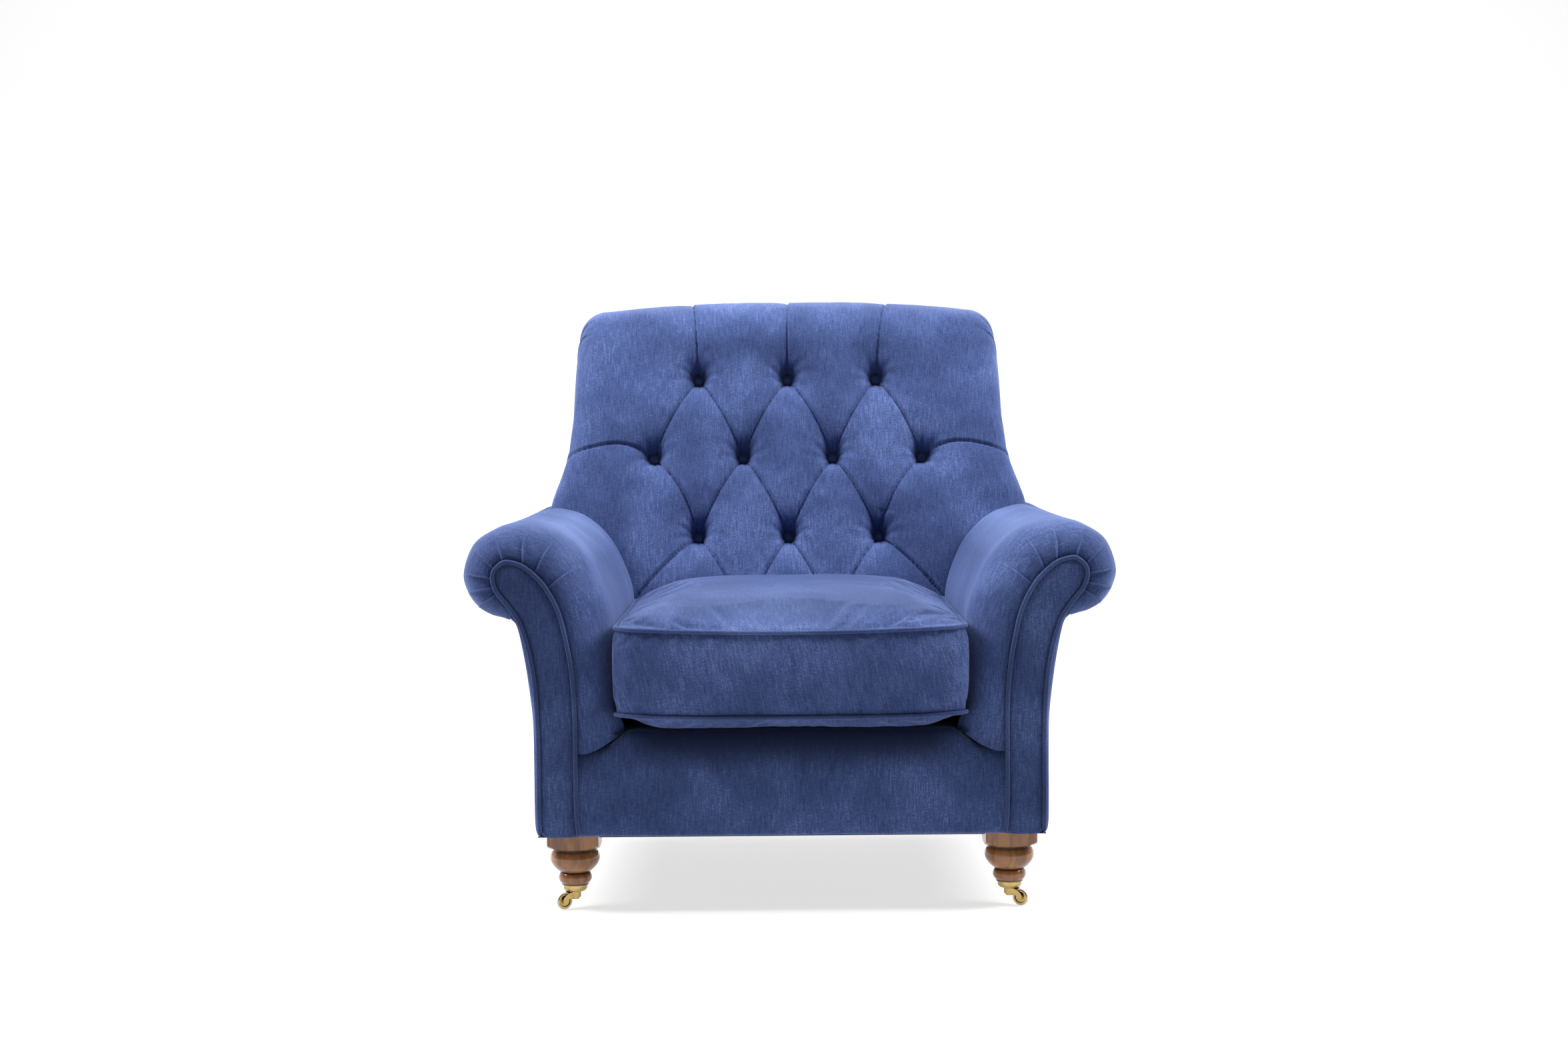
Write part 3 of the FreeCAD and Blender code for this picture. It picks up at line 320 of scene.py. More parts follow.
def velvet(name, paintedShade=1.0):
    material, tree, shader = newMaterial(name)
    place, cloth = objectPlace(tree), clothPlace(tree)
    patch = noise(tree, place, velvetLook["patch"], 3.0, 0.5, 0.3)
    stroke = noise(tree, vectorMath(tree, "MULTIPLY", cloth, velvetLook["stroke"]), 1.0, 3.0, 0.6)
    heather = noise(tree, place, velvetLook["heather"], 4.0, 0.75)
    slub = noise(tree, vectorMath(tree, "MULTIPLY", cloth, velvetLook["slub"]), 1.0, 3.0, 0.6)
    weft = noise(tree, vectorMath(tree, "MULTIPLY", cloth, velvetLook["weft"]), 1.0, 2.0, 0.6)
    nap = (patch.ramp(0.25, 0.75) * 0.30 + stroke.ramp(0.3, 0.7) * 0.11 + heather.ramp(0.3, 0.7) * 0.25
           + slub.ramp(0.3, 0.7) * 0.22 + weft.ramp(0.3, 0.7) * 0.13)
    colour = mixColour(tree, nap.ramp(0.15, 0.55), velvetLook["deep"], velvetLook["mid"])
    colour = mixColour(tree, nap.ramp(0.5, 0.85), colour, velvetLook["brushed"])
    worn = addNode(tree, "ShaderNodeAttribute", {"attribute_name": "worn"}, output="Fac")
    colour = mixColour(tree, worn, colour, velvetLook["paintedShadowColour"])  # painted shade: mixes in a dark colour where a mesh's attribute asks, under the cushion's front, on the cushion's top and on the arm facings
    # painted shade: a darker copy of the velvet, for parts that sit in shade
    if paintedShade != 1.0:
        colour = mixColour(tree, 1.0, colour, (paintedShade, paintedShade, paintedShade), "MULTIPLY")
    feedAll(tree, shader, {
        "Base Color": colour, "Roughness": nap.ramp(0.2, 0.8, 0.92, 0.72),
        "Normal": bump(tree, slub + weft + heather * 1.5, 0.4, 0.0007), "Sheen Weight": velvetLook["sheen"],
        "Sheen Roughness": velvetLook["sheenRough"], "Sheen Tint": velvetLook["sheenTint"],
        "Specular IOR Level": velvetLook["gloss"]})
    return material


woodLook = {"pale": (0.285, 0.120, 0.040), "dark": (0.150, 0.058, 0.018), "groove": (0.010, 0.005, 0.003)}


def stainedWood(name, grooves):
    material, tree, shader = newMaterial(name)
    place = objectPlace(tree)
    x, y, z = xyz(tree, place)
    stretched = joined(tree, x * 34.0, y * 34.0, z * 5.0)
    figure = noise(tree, stretched, 1.6, 5.0, 0.6, 1.2)
    pore = noise(tree, joined(tree, x * 900.0, y * 900.0, z * 60.0), 1.0, 2.0, 0.6)
    colour = mixColour(tree, figure.ramp(0.34, 0.66), woodLook["dark"], woodLook["pale"])
    colour = mixColour(tree, pore.ramp(0.55, 0.75) * 0.25, colour, woodLook["dark"])
    shadow = None
    for height, width in grooves:  # stain gathers in the turned grooves
        one = (z - height).bell(width)
        shadow = one if shadow is None else shadow + one
    if shadow is not None:
        colour = mixColour(tree, shadow.clamp() * 0.85, colour, woodLook["groove"])
    feedAll(tree, shader, {
        "Base Color": colour, "Roughness": figure.ramp(0.2, 0.8, 0.16, 0.28),
        "Normal": bump(tree, pore * 0.6 + figure, 0.12, 0.0005),
        "Coat Weight": 0.55, "Coat Roughness": 0.07, "Specular IOR Level": 0.3})
    return material


def metal(name, colour, rough, scratch=0.12):
    material, tree, shader = newMaterial(name)
    place = objectPlace(tree)
    cloud = noise(tree, place, 90.0, 3.0, 0.6)
    brushed = noise(tree, vectorMath(tree, "MULTIPLY", place, (400.0, 400.0, 3000.0)), 1.0, 2.0, 0.6)
    worn = tuple(c * 0.62 for c in colour)
    feedAll(tree, shader, {
        "Base Color": mixColour(tree, cloud.ramp(0.45, 0.75) * 0.5, colour, worn),
        "Roughness": cloud.ramp(0.3, 0.7, rough, rough + 0.12) + brushed * 0.05,
        "Normal": bump(tree, brushed, scratch, 0.0002), "Metallic": 1.0})
    return material


def plainCloth(name, a, b, thread=700.0, relief=0.5):
    # a flat woven cloth, by object place
    material, tree, shader = newMaterial(name)
    x, y, z = xyz(tree, objectPlace(tree))
    warp = ((x + z * 0.3) * thread * math.tau).sine()
    weft = ((y + z * 0.7) * thread * math.tau).sine()
    cell = warp * weft * 0.5 + 0.5
    fleck = noise(tree, objectPlace(tree), 160.0, 3.0, 0.7)
    colour = mixColour(tree, (cell * 0.5 + fleck * 0.6).clamp(), a, b)
    feedAll(tree, shader, {
        "Base Color": colour, "Roughness": fleck.ramp(0.3, 0.7, 0.82, 0.95),
        "Normal": bump(tree, cell + fleck, relief, 0.0004), "Sheen Weight": 0.2})
    return material


def glazed(name, colour):
    material, tree, shader = newMaterial(name)
    cloud = noise(tree, objectPlace(tree), 240.0, 3.0, 0.6)
    soil = tuple(c * 0.72 for c in colour)
    feedAll(tree, shader, {
        "Base Color": mixColour(tree, cloud.ramp(0.55, 0.8) * 0.35, colour, soil),
        "Roughness": cloud.ramp(0.3, 0.8, 0.14, 0.4), "Normal": bump(tree, cloud, 0.08, 0.0003),
        "Coat Weight": 0.5, "Coat Roughness": 0.08})
    return material


def rawTimber(name):
    material, tree, shader = newMaterial(name)
    x, y, z = xyz(tree, objectPlace(tree))
    rings = noise(tree, joined(tree, x * 8.0, y * 60.0, z * 60.0), 1.0, 4.0, 0.6, 1.5)
    fleck = noise(tree, joined(tree, x * 90.0, y * 700.0, z * 700.0), 1.0, 2.0, 0.6)
    colour = mixColour(tree, rings.ramp(0.3, 0.7), (0.50, 0.33, 0.18), (0.66, 0.48, 0.29))
    colour = mixColour(tree, fleck.ramp(0.55, 0.75) * 0.5, colour, (0.32, 0.19, 0.10))
    feedAll(tree, shader, {
        "Base Color": colour, "Roughness": fleck.ramp(0.3, 0.7, 0.5, 0.7),
        "Normal": bump(tree, rings + fleck, 0.2, 0.0005)})
    return material


legHigh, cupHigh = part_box("front_leg_left")[1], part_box("castor_cup_left")[1]
shank = legHigh.z - cupHigh.z
blueVelvet = velvet("blueVelvet")
# darker copies of the same velvet: painted shade on the piping cords and on the buttons down in their pits
pipingVelvet = velvet("pipingVelvet", 0.9)
shadedFacingCord = velvet("facingCordVelvet", 0.72)
buttonVelvet = velvet("buttonVelvet", 0.8)
walnutStain = stainedWood("walnutStain", [
    (cupHigh.z + shank * 0.245, 0.0022), (cupHigh.z + shank * 0.68, 0.0026), (cupHigh.z + 0.001, 0.0012)])
rearWood = stainedWood("rearLegStain", [])
polishedBrass = metal("polishedBrass", (0.50, 0.36, 0.14), 0.12)
springSteel = metal("springSteel", (0.42, 0.42, 0.43), 0.32, 0.3)
whiteGlaze = glazed("whiteGlaze", (0.86, 0.85, 0.82))
beech = rawTimber("beech")
dustCloth = plainCloth("dustCloth", (0.008, 0.008, 0.009), (0.03, 0.03, 0.032), 500.0)
platformCloth = plainCloth("platformCloth", (0.012, 0.018, 0.050), (0.030, 0.044, 0.115), 500.0)
hessianCloth = plainCloth("hessianCloth", (0.22, 0.15, 0.07), (0.50, 0.38, 0.22), 260.0, 0.8)
webbingCloth = plainCloth("webbingCloth", (0.02, 0.02, 0.022), (0.12, 0.12, 0.13), 330.0, 0.8)
waxedTwine = plainCloth("waxedTwine", (0.45, 0.37, 0.25), (0.7, 0.62, 0.46), 900.0)
foamCloth = plainCloth("foamWadding", (0.62, 0.58, 0.48), (0.86, 0.83, 0.75), 180.0, 0.9)
zipTape = plainCloth("zipTape", (0.02, 0.028, 0.075), (0.045, 0.06, 0.15), 600.0)

slotFinish = {
    "frame_timber": beech, "steel": springSteel, "stained_wood": walnutStain,
    "polished_brass": polishedBrass, "white_tread": whiteGlaze, "dust_cloth": dustCloth,
    "platform_cloth": platformCloth, "hessian": hessianCloth,
    "webbing": webbingCloth, "twine": waxedTwine, "foam": foamCloth, "velvet": blueVelvet,
    "velvet_piping": pipingVelvet, "zip": zipTape,
}
for part in frame["record"]["subparts"]:
    node = cadNodes[part["node"]]
    finish = rearWood if part["node"].startswith("rear_leg") else slotFinish[part["material_slot"]]
    node.data.materials.clear()
    node.data.materials.append(finish)
print("finishes ready")


def creaseTree():
    # draws cloth in along sewn lines and down to its buttons, and lets it fold over on one side of a pleat
    tree, v, ids = geometryTree("sewnCreases", [
        ("Creases", "Object", None), ("Buttons", "Object", None), ("Crease depth", "Float", 0.01),
        ("Pillow reach", "Float", 0.06), ("Groove depth", "Float", 0.004), ("Groove width", "Float", 0.003),
        ("Pit depth", "Float", 0.03), ("Pit width", "Float", 0.016), ("Dimple depth", "Float", 0.012),
        ("Dimple width", "Float", 0.045), ("Fold height", "Float", 0.0), ("Fold width", "Float", 0.02),
        ("Pucker", "Float", 0.0), ("Ripple", "Float", 0.001), ("Seed", "Float", 0.0),
        ("Finish", "Material", None)])

    def attribute(key, kind):
        return addNode(tree, "GeometryNodeInputNamedAttribute", {"data_type": kind}, {0: key})

    def nearest(target, kind, place):
        shape = addNode(tree, "GeometryNodeObjectInfo", None, {"Object": target}, "Geometry")
        near = addNode(tree, "GeometryNodeProximity", {"target_element": kind},
                       {0: shape, "Sample Position": place}, "Position")
        return near, Value(tree, near.socket.node.outputs["Distance"])

    cloth, outward = attribute("cloth", "FLOAT_VECTOR"), attribute("outward", "FLOAT_VECTOR")
    onLine, lineFar = nearest(v["Creases"], "EDGES", cloth)
    onButton, buttonFar = nearest(v["Buttons"], "POINTS", cloth)
    _, lineToButton = nearest(v["Buttons"], "POINTS", onLine)
    sideX, sideY, _ = xyz(tree, vectorMath(tree, "SUBTRACT", cloth, onLine))
    side = sideY + sideX * 0.35
    reach = 1.0 - (lineFar / v["Pillow reach"]).clamp()
    arc = 1.0 - (1.0 - reach * reach).most(0.0).root()
    tight = lineToButton.decay(0.035) * 1.5 + 0.2  # a crease is deepest beside its buttons
    pillow = (arc * 0.25 + reach ** 2.5 * 0.75) * v["Crease depth"] * tight
    groove = lineFar.bell(v["Groove width"]) * v["Groove depth"]
    dimple = buttonFar.decay(v["Dimple width"]) * v["Dimple depth"]
    pit = buttonFar.bell(v["Pit width"]) * v["Pit depth"] + dimple
    fold = side.above(0.0) * lineFar.decay(v["Fold width"]) * v["Fold height"]
    dx, dy, _ = xyz(tree, vectorMath(tree, "SUBTRACT", cloth, onButton))
    shifted = vectorMath(tree, "ADD", cloth, joined(tree, v["Seed"], v["Seed"], 0.0))
    spokes = dy.math("ARCTAN2", dx) * 9.0 + noise(tree, shifted, 14.0, 2.0, 0.5) * 9.0
    pucker = spokes.sine() * (buttonFar / 0.030).bell(1.0) * buttonFar.ramp(0.004, 0.016) * v["Pucker"]
    ripple = (noise(tree, shifted, 16.0, 3.0, 0.5) - 0.5) * v["Ripple"] * 2.0
    height = (fold - pillow - groove - pit + pucker + ripple) * attribute("hold", "FLOAT")
    shift = vectorMath(tree, "SCALE", outward, height)
    moved = addNode(tree, "GeometryNodeSetPosition", None, {"Geometry": v["Geometry"], "Offset": shift})
    endTree(tree, moved, v["Finish"])
    return tree, ids


def cordTree():
    # a round cord of set thickness along a curve
    tree, v, ids = geometryTree("pipingCord", [
        ("Radius", "Float", 0.003), ("Sides", "Int", 10), ("Spacing", "Float", 0.004),
        ("Finish", "Material", None)])
    even = addNode(tree, "GeometryNodeResampleCurve", {"mode": "LENGTH"},
                   {"Curve": v["Geometry"], "Length": v["Spacing"]})
    ring = addNode(tree, "GeometryNodeCurvePrimitiveCircle", None,
                   {"Resolution": v["Sides"], "Radius": v["Radius"]}, "Curve")
    sweep = addNode(tree, "GeometryNodeCurveToMesh", None,
                    {"Curve": even, "Profile Curve": ring, "Fill Caps": True})
    endTree(tree, addNode(tree, "GeometryNodeSetShadeSmooth", None, {0: sweep}), v["Finish"])
    return tree, ids


def scatterTree():
    # one shape set at every point of a mesh, faced along the point's own direction
    tree, v, ids = geometryTree("setAtPoints", [
        ("Shape", "Object", None), ("Vary", "Float", 0.08), ("Seed", "Int", 3), ("Finish", "Material", None)])
    shape = addNode(tree, "GeometryNodeObjectInfo", None, {"Object": v["Shape"]}, "Geometry")
    facing = addNode(tree, "GeometryNodeInputNamedAttribute", {"data_type": "FLOAT_VECTOR"}, {0: "facing"})
    turn = addNode(tree, "FunctionNodeAlignRotationToVector", {"axis": "Z"}, {"Vector": facing})
    size = addNode(tree, "FunctionNodeRandomValue", {"data_type": "FLOAT"}, {
        "Min": 1.0 - v["Vary"], "Max": 1.0 + v["Vary"], "Seed": v["Seed"]}, 1)
    placed = addNode(tree, "GeometryNodeInstanceOnPoints", None, {
        "Points": v["Geometry"], "Instance": shape, "Rotation": turn, "Scale": size})
    endTree(tree, placed, v["Finish"])
    return tree, ids


creases, cordMaker, scatter = creaseTree(), cordTree(), scatterTree()


def meshObject(name, points, edges):
    mesh = bpy.data.meshes.new(name)
    mesh.from_pydata([tuple(p) if len(p) == 3 else (p[0], p[1], 0.0) for p in points], edges, [])
    obj = bpy.data.objects.new(name, mesh)
    bpy.context.scene.collection.objects.link(obj)
    return obj


def lineObject(name, lines):
    # open lines in one mesh of edges, each line a list of points
    points, edges = [], []
    for line in lines:
        first = len(points)
        points += list(line)
        edges += [(k, k + 1) for k in range(first, len(points) - 1)]
    return meshObject(name, points, edges)


def pointObject(name, points, facing=None):
    obj = meshObject(name, points, [])
    if facing is not None:
        setVector(obj.data, "facing", facing)
    return obj


def makeCord(name, points, radius, finish, body, closed=False):
    curve = bpy.data.curves.new(name, "CURVE")
    curve.dimensions = "3D"
    spline = curve.splines.new("POLY")
    spline.points.add(len(points) - 1)
    spline.points.foreach_set("co", np.hstack([points, np.ones((len(points), 1))]).ravel())
    spline.use_cyclic_u = closed
    obj = bpy.data.objects.new(name, curve)
    bpy.context.scene.collection.objects.link(obj)
    obj = grown(obj, cordMaker, {"Radius": radius, "Sides": 12, "Spacing": 0.004, "Finish": finish})
    return settle(obj, body, "velvet_piping")


def settle(obj, body, slotName, *replaced):
    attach(obj, body)
    if replaced:
        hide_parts(*replaced)
    return obj


def drop(*objs):
    for obj in objs:
        bpy.data.objects.remove(obj)


def bowed(a, b, bow=0.0, count=14):
    # a line from a to b that bows to one side
    a, b = np.array(a, float), np.array(b, float)
    t = np.linspace(0, 1, count)[:, None]
    side = np.array([-(b - a)[1], (b - a)[0]])
    return a + (b - a) * t + side * bow * np.sin(np.pi * t)


backLook = {
    "spacing": 2.4 * mm, "edge": 38 * mm, "rollEdge": 50 * mm, "crown": 15 * mm,
    "sewing": {
        "Crease depth": 13 * mm, "Pillow reach": 60 * mm, "Groove depth": 4.0 * mm, "Groove width": 1.7 * mm,
        "Pit depth": 30 * mm, "Pit width": 15 * mm, "Dimple depth": 18 * mm, "Dimple width": 32 * mm,
        "Fold height": 2.6 * mm, "Fold width": 12 * mm, "Pucker": 1.9 * mm, "Ripple": 1.5 * mm,
    },
    "buttonPitch": 157 * mm, "rowPitch": 143.5 * mm, "lowestRow": 121 * mm, "button": 10.5 * mm,
    "buttonDeep": 45 * mm,
    # height and half the back's width there, in mm
    "halfWidths": [(250, 290), (440, 300), (480, 360), (520, 405), (565, 422), (607, 412), (650, 397),
                   (692, 385), (749, 378), (806, 375), (849, 372), (950, 371)],
}
rollRadius = backHigh.z - shellHigh.z - 44 * mm
rollY, rollZ = backHigh.y - rollRadius, backHigh.z - rollRadius
leanStartY = backLow.y
lean = (rollY - rollRadius - leanStartY) / (rollZ - pipingLine)

shellRear = {}
shellPoints = np.array([v.co[:] for v in cadNodes["outside_back"].data.vertices])
for key, z in (("low", shellLow.z), ("high", shellHigh.z)):
    shellRear[key] = shellPoints[np.abs(shellPoints[:, 2] - z) < 2 * mm][:, 1].max()


def shellY(z):
    # the outside back's skin at a height
    share = (z - shellLow.z) / (shellHigh.z - shellLow.z)
    return shellRear["low"] + share * (shellRear["high"] - shellRear["low"])


def backProfile():
    turn = np.radians(np.linspace(172, -4, 60))
    roll = np.stack([rollY + rollRadius * np.cos(turn), rollZ + rollRadius * np.sin(turn)], 1)
    rear = shellRear["high"]
    tuck = np.array([[rear + 9 * mm, shellHigh.z + 10 * mm], [rear - 3 * mm, shellHigh.z - 6 * mm],
                     [rear - 22 * mm, shellHigh.z - 18 * mm]])
    face = np.array([[leanStartY, backLow.z + 8 * mm], [leanStartY, pipingLine - 30 * mm],
                     [leanStartY + 2 * mm, pipingLine]])
    rises = np.linspace(40 * mm, rollZ - pipingLine - 40 * mm, 12)
    up = [[leanStartY + lean * h, pipingLine + h] for h in rises]
    line = np.vstack([face, up, roll, tuck])
    line = evenly(line, 2 * mm)
    for _ in range(60):
        line[1:-1] = line[1:-1] * 0.5 + (line[:-2] + line[2:]) * 0.25
    return evenly(line, backLook["spacing"])


def makeBack():
    line = backProfile()
    far = lengths(line)
    start = np.interp(pipingLine, line[:80, 1], far[:80])
    along = far - start  # place on the cloth, from the piping line up
    tangent = np.gradient(line, axis=0)
    tangent /= np.linalg.norm(tangent, axis=1, keepdims=True)
    normal = np.stack([-tangent[:, 1], tangent[:, 0]], 1)
    table = np.array(backLook["halfWidths"]) * mm
    top = np.argmax(line[:, 1])
    height = np.where(np.arange(len(line)) > top, 0.95, line[:, 1])
    half = np.interp(height, table[:, 0], table[:, 1])
    rolled = smoothStep(0.36, 0.52, along)
    edge = backLook["edge"] + (backLook["rollEdge"] - backLook["edge"]) * rolled
    centre = np.array([rollY, rollZ])
    tuckPoint = np.array([shellRear["high"], shellHigh.z])
    spine = np.zeros_like(line)
    for k, (y, z) in enumerate(line):
        if along[k] < 0.34:
            foot = np.clip(z - 0.03, shellLow.z, shellHigh.z)
            spine[k] = shellY(foot) - 3 * mm, foot
        elif along[k] < 0.46:
            t = (along[k] - 0.34) / 0.12
            foot = np.clip(z - 0.03, shellLow.z, shellHigh.z)
            spine[k] = np.array([shellY(foot) - 3 * mm, foot]) * (1 - t) + centre * t
        else:
            spine[k] = centre
    late = smoothStep(along[-1] - 0.07, along[-1], along)[:, None]
    spine = spine * (1 - late) + tuckPoint * late
    flatCount = int(2 * 0.335 / backLook["spacing"])
    share = np.linspace(-1, 1, flatCount)
    arcCount, sideCount = 26, 22
    columns, clothX, hold = [], [], []
    for s in share:
        x = s * (half - edge)
        sag = backLook["crown"] * np.abs(s) ** 2.6 * rolled + 5 * mm * np.abs(s) ** 3 * (1 - rolled)
        at = line - normal * sag[:, None]
        columns.append(np.stack([x, at[:, 0], at[:, 1]], 1))
        clothX.append(x)
        hold.append(np.ones(len(line)))
    sagEnd = backLook["crown"] * rolled + 5 * mm * (1 - rolled)
    right = []
    for turn in np.linspace(0, np.pi / 2, arcCount + 1)[1:]:
        x = half - edge + edge * np.sin(turn)
        at = line - normal * (sagEnd + edge * (1 - np.cos(turn)))[:, None]
        loose = np.full(len(line), 1 - 0.5 * (turn / 1.571) ** 2)
        right.append((np.stack([x, at[:, 0], at[:, 1]], 1), half - edge + edge * turn, loose))
    corner = line - normal * (sagEnd + edge)[:, None]
    for t in np.linspace(0, 1, sideCount + 1)[1:]:
        at = corner * (1 - t) + spine * t
        bulge = 4 * mm * np.sin(np.pi * t) * np.ones(len(line))
        x = half + bulge
        gone = np.linalg.norm(spine - corner, axis=1) * t
        loose = np.full(len(line), 0.5 * (1 - t) ** 3)
        right.append((np.stack([x, at[:, 0], at[:, 1]], 1), half - edge + edge * 1.571 + gone, loose))
    left = [(p * np.array([-1, 1, 1]), -c, h) for p, c, h in right[::-1]]
    grid = np.stack([p for p, _, _ in left] + columns + [p for p, _, _ in right], 1)
    clothX = np.stack([c for _, c, _ in left] + clothX + [c for _, c, _ in right], 1)
    hold = np.stack([h for _, _, h in left] + hold + [h for _, _, h in right], 1)
    rear = 1 - smoothStep(along[-1] - 0.10, along[-1] - 0.01, along)
    low = smoothStep(along[0], along[0] + 0.05, along)
    hold = hold * (rear * low)[:, None]
    cloth = np.stack([clothX, np.repeat(along[:, None], clothX.shape[1], 1)], -1)
    skin = gridMesh("backPad", grid, cloth, {"hold": hold}, flip=True)

    pitch = backLook["buttonPitch"]
    rows = [backLook["lowestRow"] + k * backLook["rowPitch"] for k in range(3)]
    low3, mid4, top3 = ([((k - (n - 1) / 2) * pitch, s) for k in range(n)] for n, s in zip((3, 4, 3), rows))
    lines = []
    for k, (a, b) in enumerate(zip(top3, low3)):
        lines += [bowed(a, mid4[k], -0.025), bowed(a, mid4[k + 1], 0.025)]
        lines.append(bowed(mid4[k], b, 0.07 if k == 0 else 0.02))
        lines.append(bowed(mid4[k + 1], b, -0.07 if k == 2 else -0.02))
    topEnds = [-0.173, 0.002, 0.184]
    for a, x in zip(top3, topEnds):
        lines.append(bowed(a, (x * 0.98, 0.60), 0.012 * np.sign(x) if abs(x) > 0.05 else 0.0))
        lines.append([(x * 0.98, 0.60), (x, 0.79)])
    for way in (-1, 1):
        outer = (way * pitch * 1.5, rows[1])
        lines.append(bowed(outer, (way * 0.345, rows[1] + 0.012), way * 0.12))
        lines.append([(way * 0.345, rows[1] + 0.012), (way * 0.42, rows[1] - 0.006)])
        lines.append(bowed((way * pitch, rows[0]), (way * 0.272, -0.004), way * 0.02))
        lines.append(bowed((way * pitch, rows[0]), (way * 0.080, -0.02), -way * 0.03))
        lines.append(bowed((0.0, rows[0]), (way * 0.072, -0.02), way * 0.02))
        # cloth gathered at the top corners
        for low, high in ((0.478, 0.500), (0.500, 0.545)):
            lines.append(bowed((way * 0.362, high), (way * 0.440, low), way * 0.06))
    lineMesh = lineObject("backCreases", lines)
    spots = pointObject("backButtonSpots", [*low3, *mid4, *top3])
    skin = grown(skin, creases, {
        "Creases": lineMesh, "Buttons": spots, "Seed": 1.7, "Finish": blueVelvet, **backLook["sewing"]})
    drop(lineMesh, spots)

    # covered buttons at the bottoms of the pits
    face = np.array([math.cos(math.atan(lean)), -math.sin(math.atan(lean))])
    places, facing = [], []
    for x, s in [*low3, *mid4, *top3]:
        y, z = np.interp(s, along, line[:, 0]), np.interp(s, along, line[:, 1])
        deep = backLook["buttonDeep"]
        places.append((x, y + face[0] * deep, z + face[1] * deep))
        facing.append((0.0, -face[0], -face[1]))
    places = np.array(places)
    button = domedButton("buttonShape", backLook["button"])
    seats = pointObject("backButtons", places, np.array(facing))
    seats = grown(seats, scatter, {"Shape": button, "Vary": 0.03, "Seed": 5, "Finish": buttonVelvet})
    drop(button)
    settle(seats, "chair", "velvet", "back_buttons")
    settle(skin, "chair", "velvet", "back_pad")


def domedButton(name, radius):
    # a covered button: a low dome whose cloth folds under at the rim
    profile = [(0.0, 0.46), (0.25, 0.44), (0.5, 0.37), (0.75, 0.24), (0.92, 0.08), (1.0, -0.12),
               (0.96, -0.30), (0.8, -0.42), (0.0, -0.45)]
    profile = smoothLine(np.array(profile) * radius, radius * 0.12)
    around = np.linspace(0, math.tau, 28, endpoint=False)
    grid = np.zeros((28, len(profile), 3))
    for k, angle in enumerate(around):
        tuck = 1 + 0.02 * np.sin(angle * 9)
        grid[k, :, 0] = profile[:, 0] * math.cos(angle) * tuck
        grid[k, :, 1] = profile[:, 0] * math.sin(angle) * tuck
        grid[k, :, 2] = profile[:, 1]
    obj = gridMesh(name, grid, loopRows=True)
    closeHoles(obj)
    return obj


makeBack()
print("back made")


armLook = {
    # pairs of places, out from the arm's inside and down from its crest, in mm: the first on the facing's
    # piping, the second on the arm's skin
    "pairs": [((56, -345), (0, -345)), ((56.3, -284), (0, -284)), ((60, -225), (0, -224)),
              ((67, -180), (0.5, -172)), ((78, -134), (8, -122)), ((96, -98), (38, -57)),
              ((114, -77), (82, -15)), ((131, -64), (128, 0)), ((146, -58.5), (152, -2)),
              ((159, -58), (175, -9)), ((172, -69), (209, -32)), ((175.5, -81), (225, -75)),
              ((173, -94), (219, -104)), ((168, -104), (203, -126)), ((160, -114), (182, -138)),
              ((152, -124), (163, -142)), ((144, -135), (152, -144))],
    "pleats": [5, 6, 7, 9, 10, 11, 12, 13],  # the pairs that a pleat starts from, and each pleat's length in mm
    "pleatLengths": [80, 70, 62, 58, 60, 66, 64, 57],
    "spacing": 2.9 * mm, "depth": 1.25, "arc": 1.77, "roundRear": 20 * mm,
    "sewing": {
        "Crease depth": 2.0 * mm, "Pillow reach": 20 * mm, "Groove depth": 4.4 * mm, "Groove width": 1.3 * mm,
        "Pit depth": 0.6 * mm, "Pit width": 4 * mm, "Dimple depth": 0.4 * mm, "Dimple width": 12 * mm,
        "Fold height": 2.8 * mm, "Fold width": 9 * mm, "Pucker": 0.0, "Ripple": 1.6 * mm,
    },
    "outsidePairs": [((144, -135), (150, -143)), ((136, -148), (141, -154)), ((125, -183), (133, -190)),
                     ((117, -225), (126, -237)), ((113, -271), (120.5, -290)), ((111, -329), (118.3, -334)),
                     ((111, -413), (118, -413)), ((110.5, -452), (117, -455)), ((109, -466), (111, -468)),
                     ((104, -469), (104, -469))],
    "facingFoot": [(52, -468), (55, -440), (56, -400)],
}


def armPairs(key, fine=None):
    # the paired lines, evenly stepped; fine is a run of knots that gets closer steps
    table = [[seatHalf + i[0] * mm, armCrest + i[1] * mm, seatHalf + o[0] * mm, armCrest + o[1] * mm]
             for i, o in armLook[key]]
    line = rounded(np.array(table))
    knots = np.arange(len(table)) * 40
    far = lengths(line[:, 2:])
    even = evenly(line, armLook["spacing"], [2, 3])
    if fine:
        start, end = far[knots[fine[0]]], far[knots[fine[1]]]
        close = np.arange(start, end, armLook["spacing"] * 0.36)
        want = np.concatenate([np.arange(0, start, 5 * mm), close, np.arange(end, far[-1], 4 * mm), [far[-1]]])
        even = np.stack([np.interp(want, far, line[:, k]) for k in range(4)], 1)
    return even, far[knots]


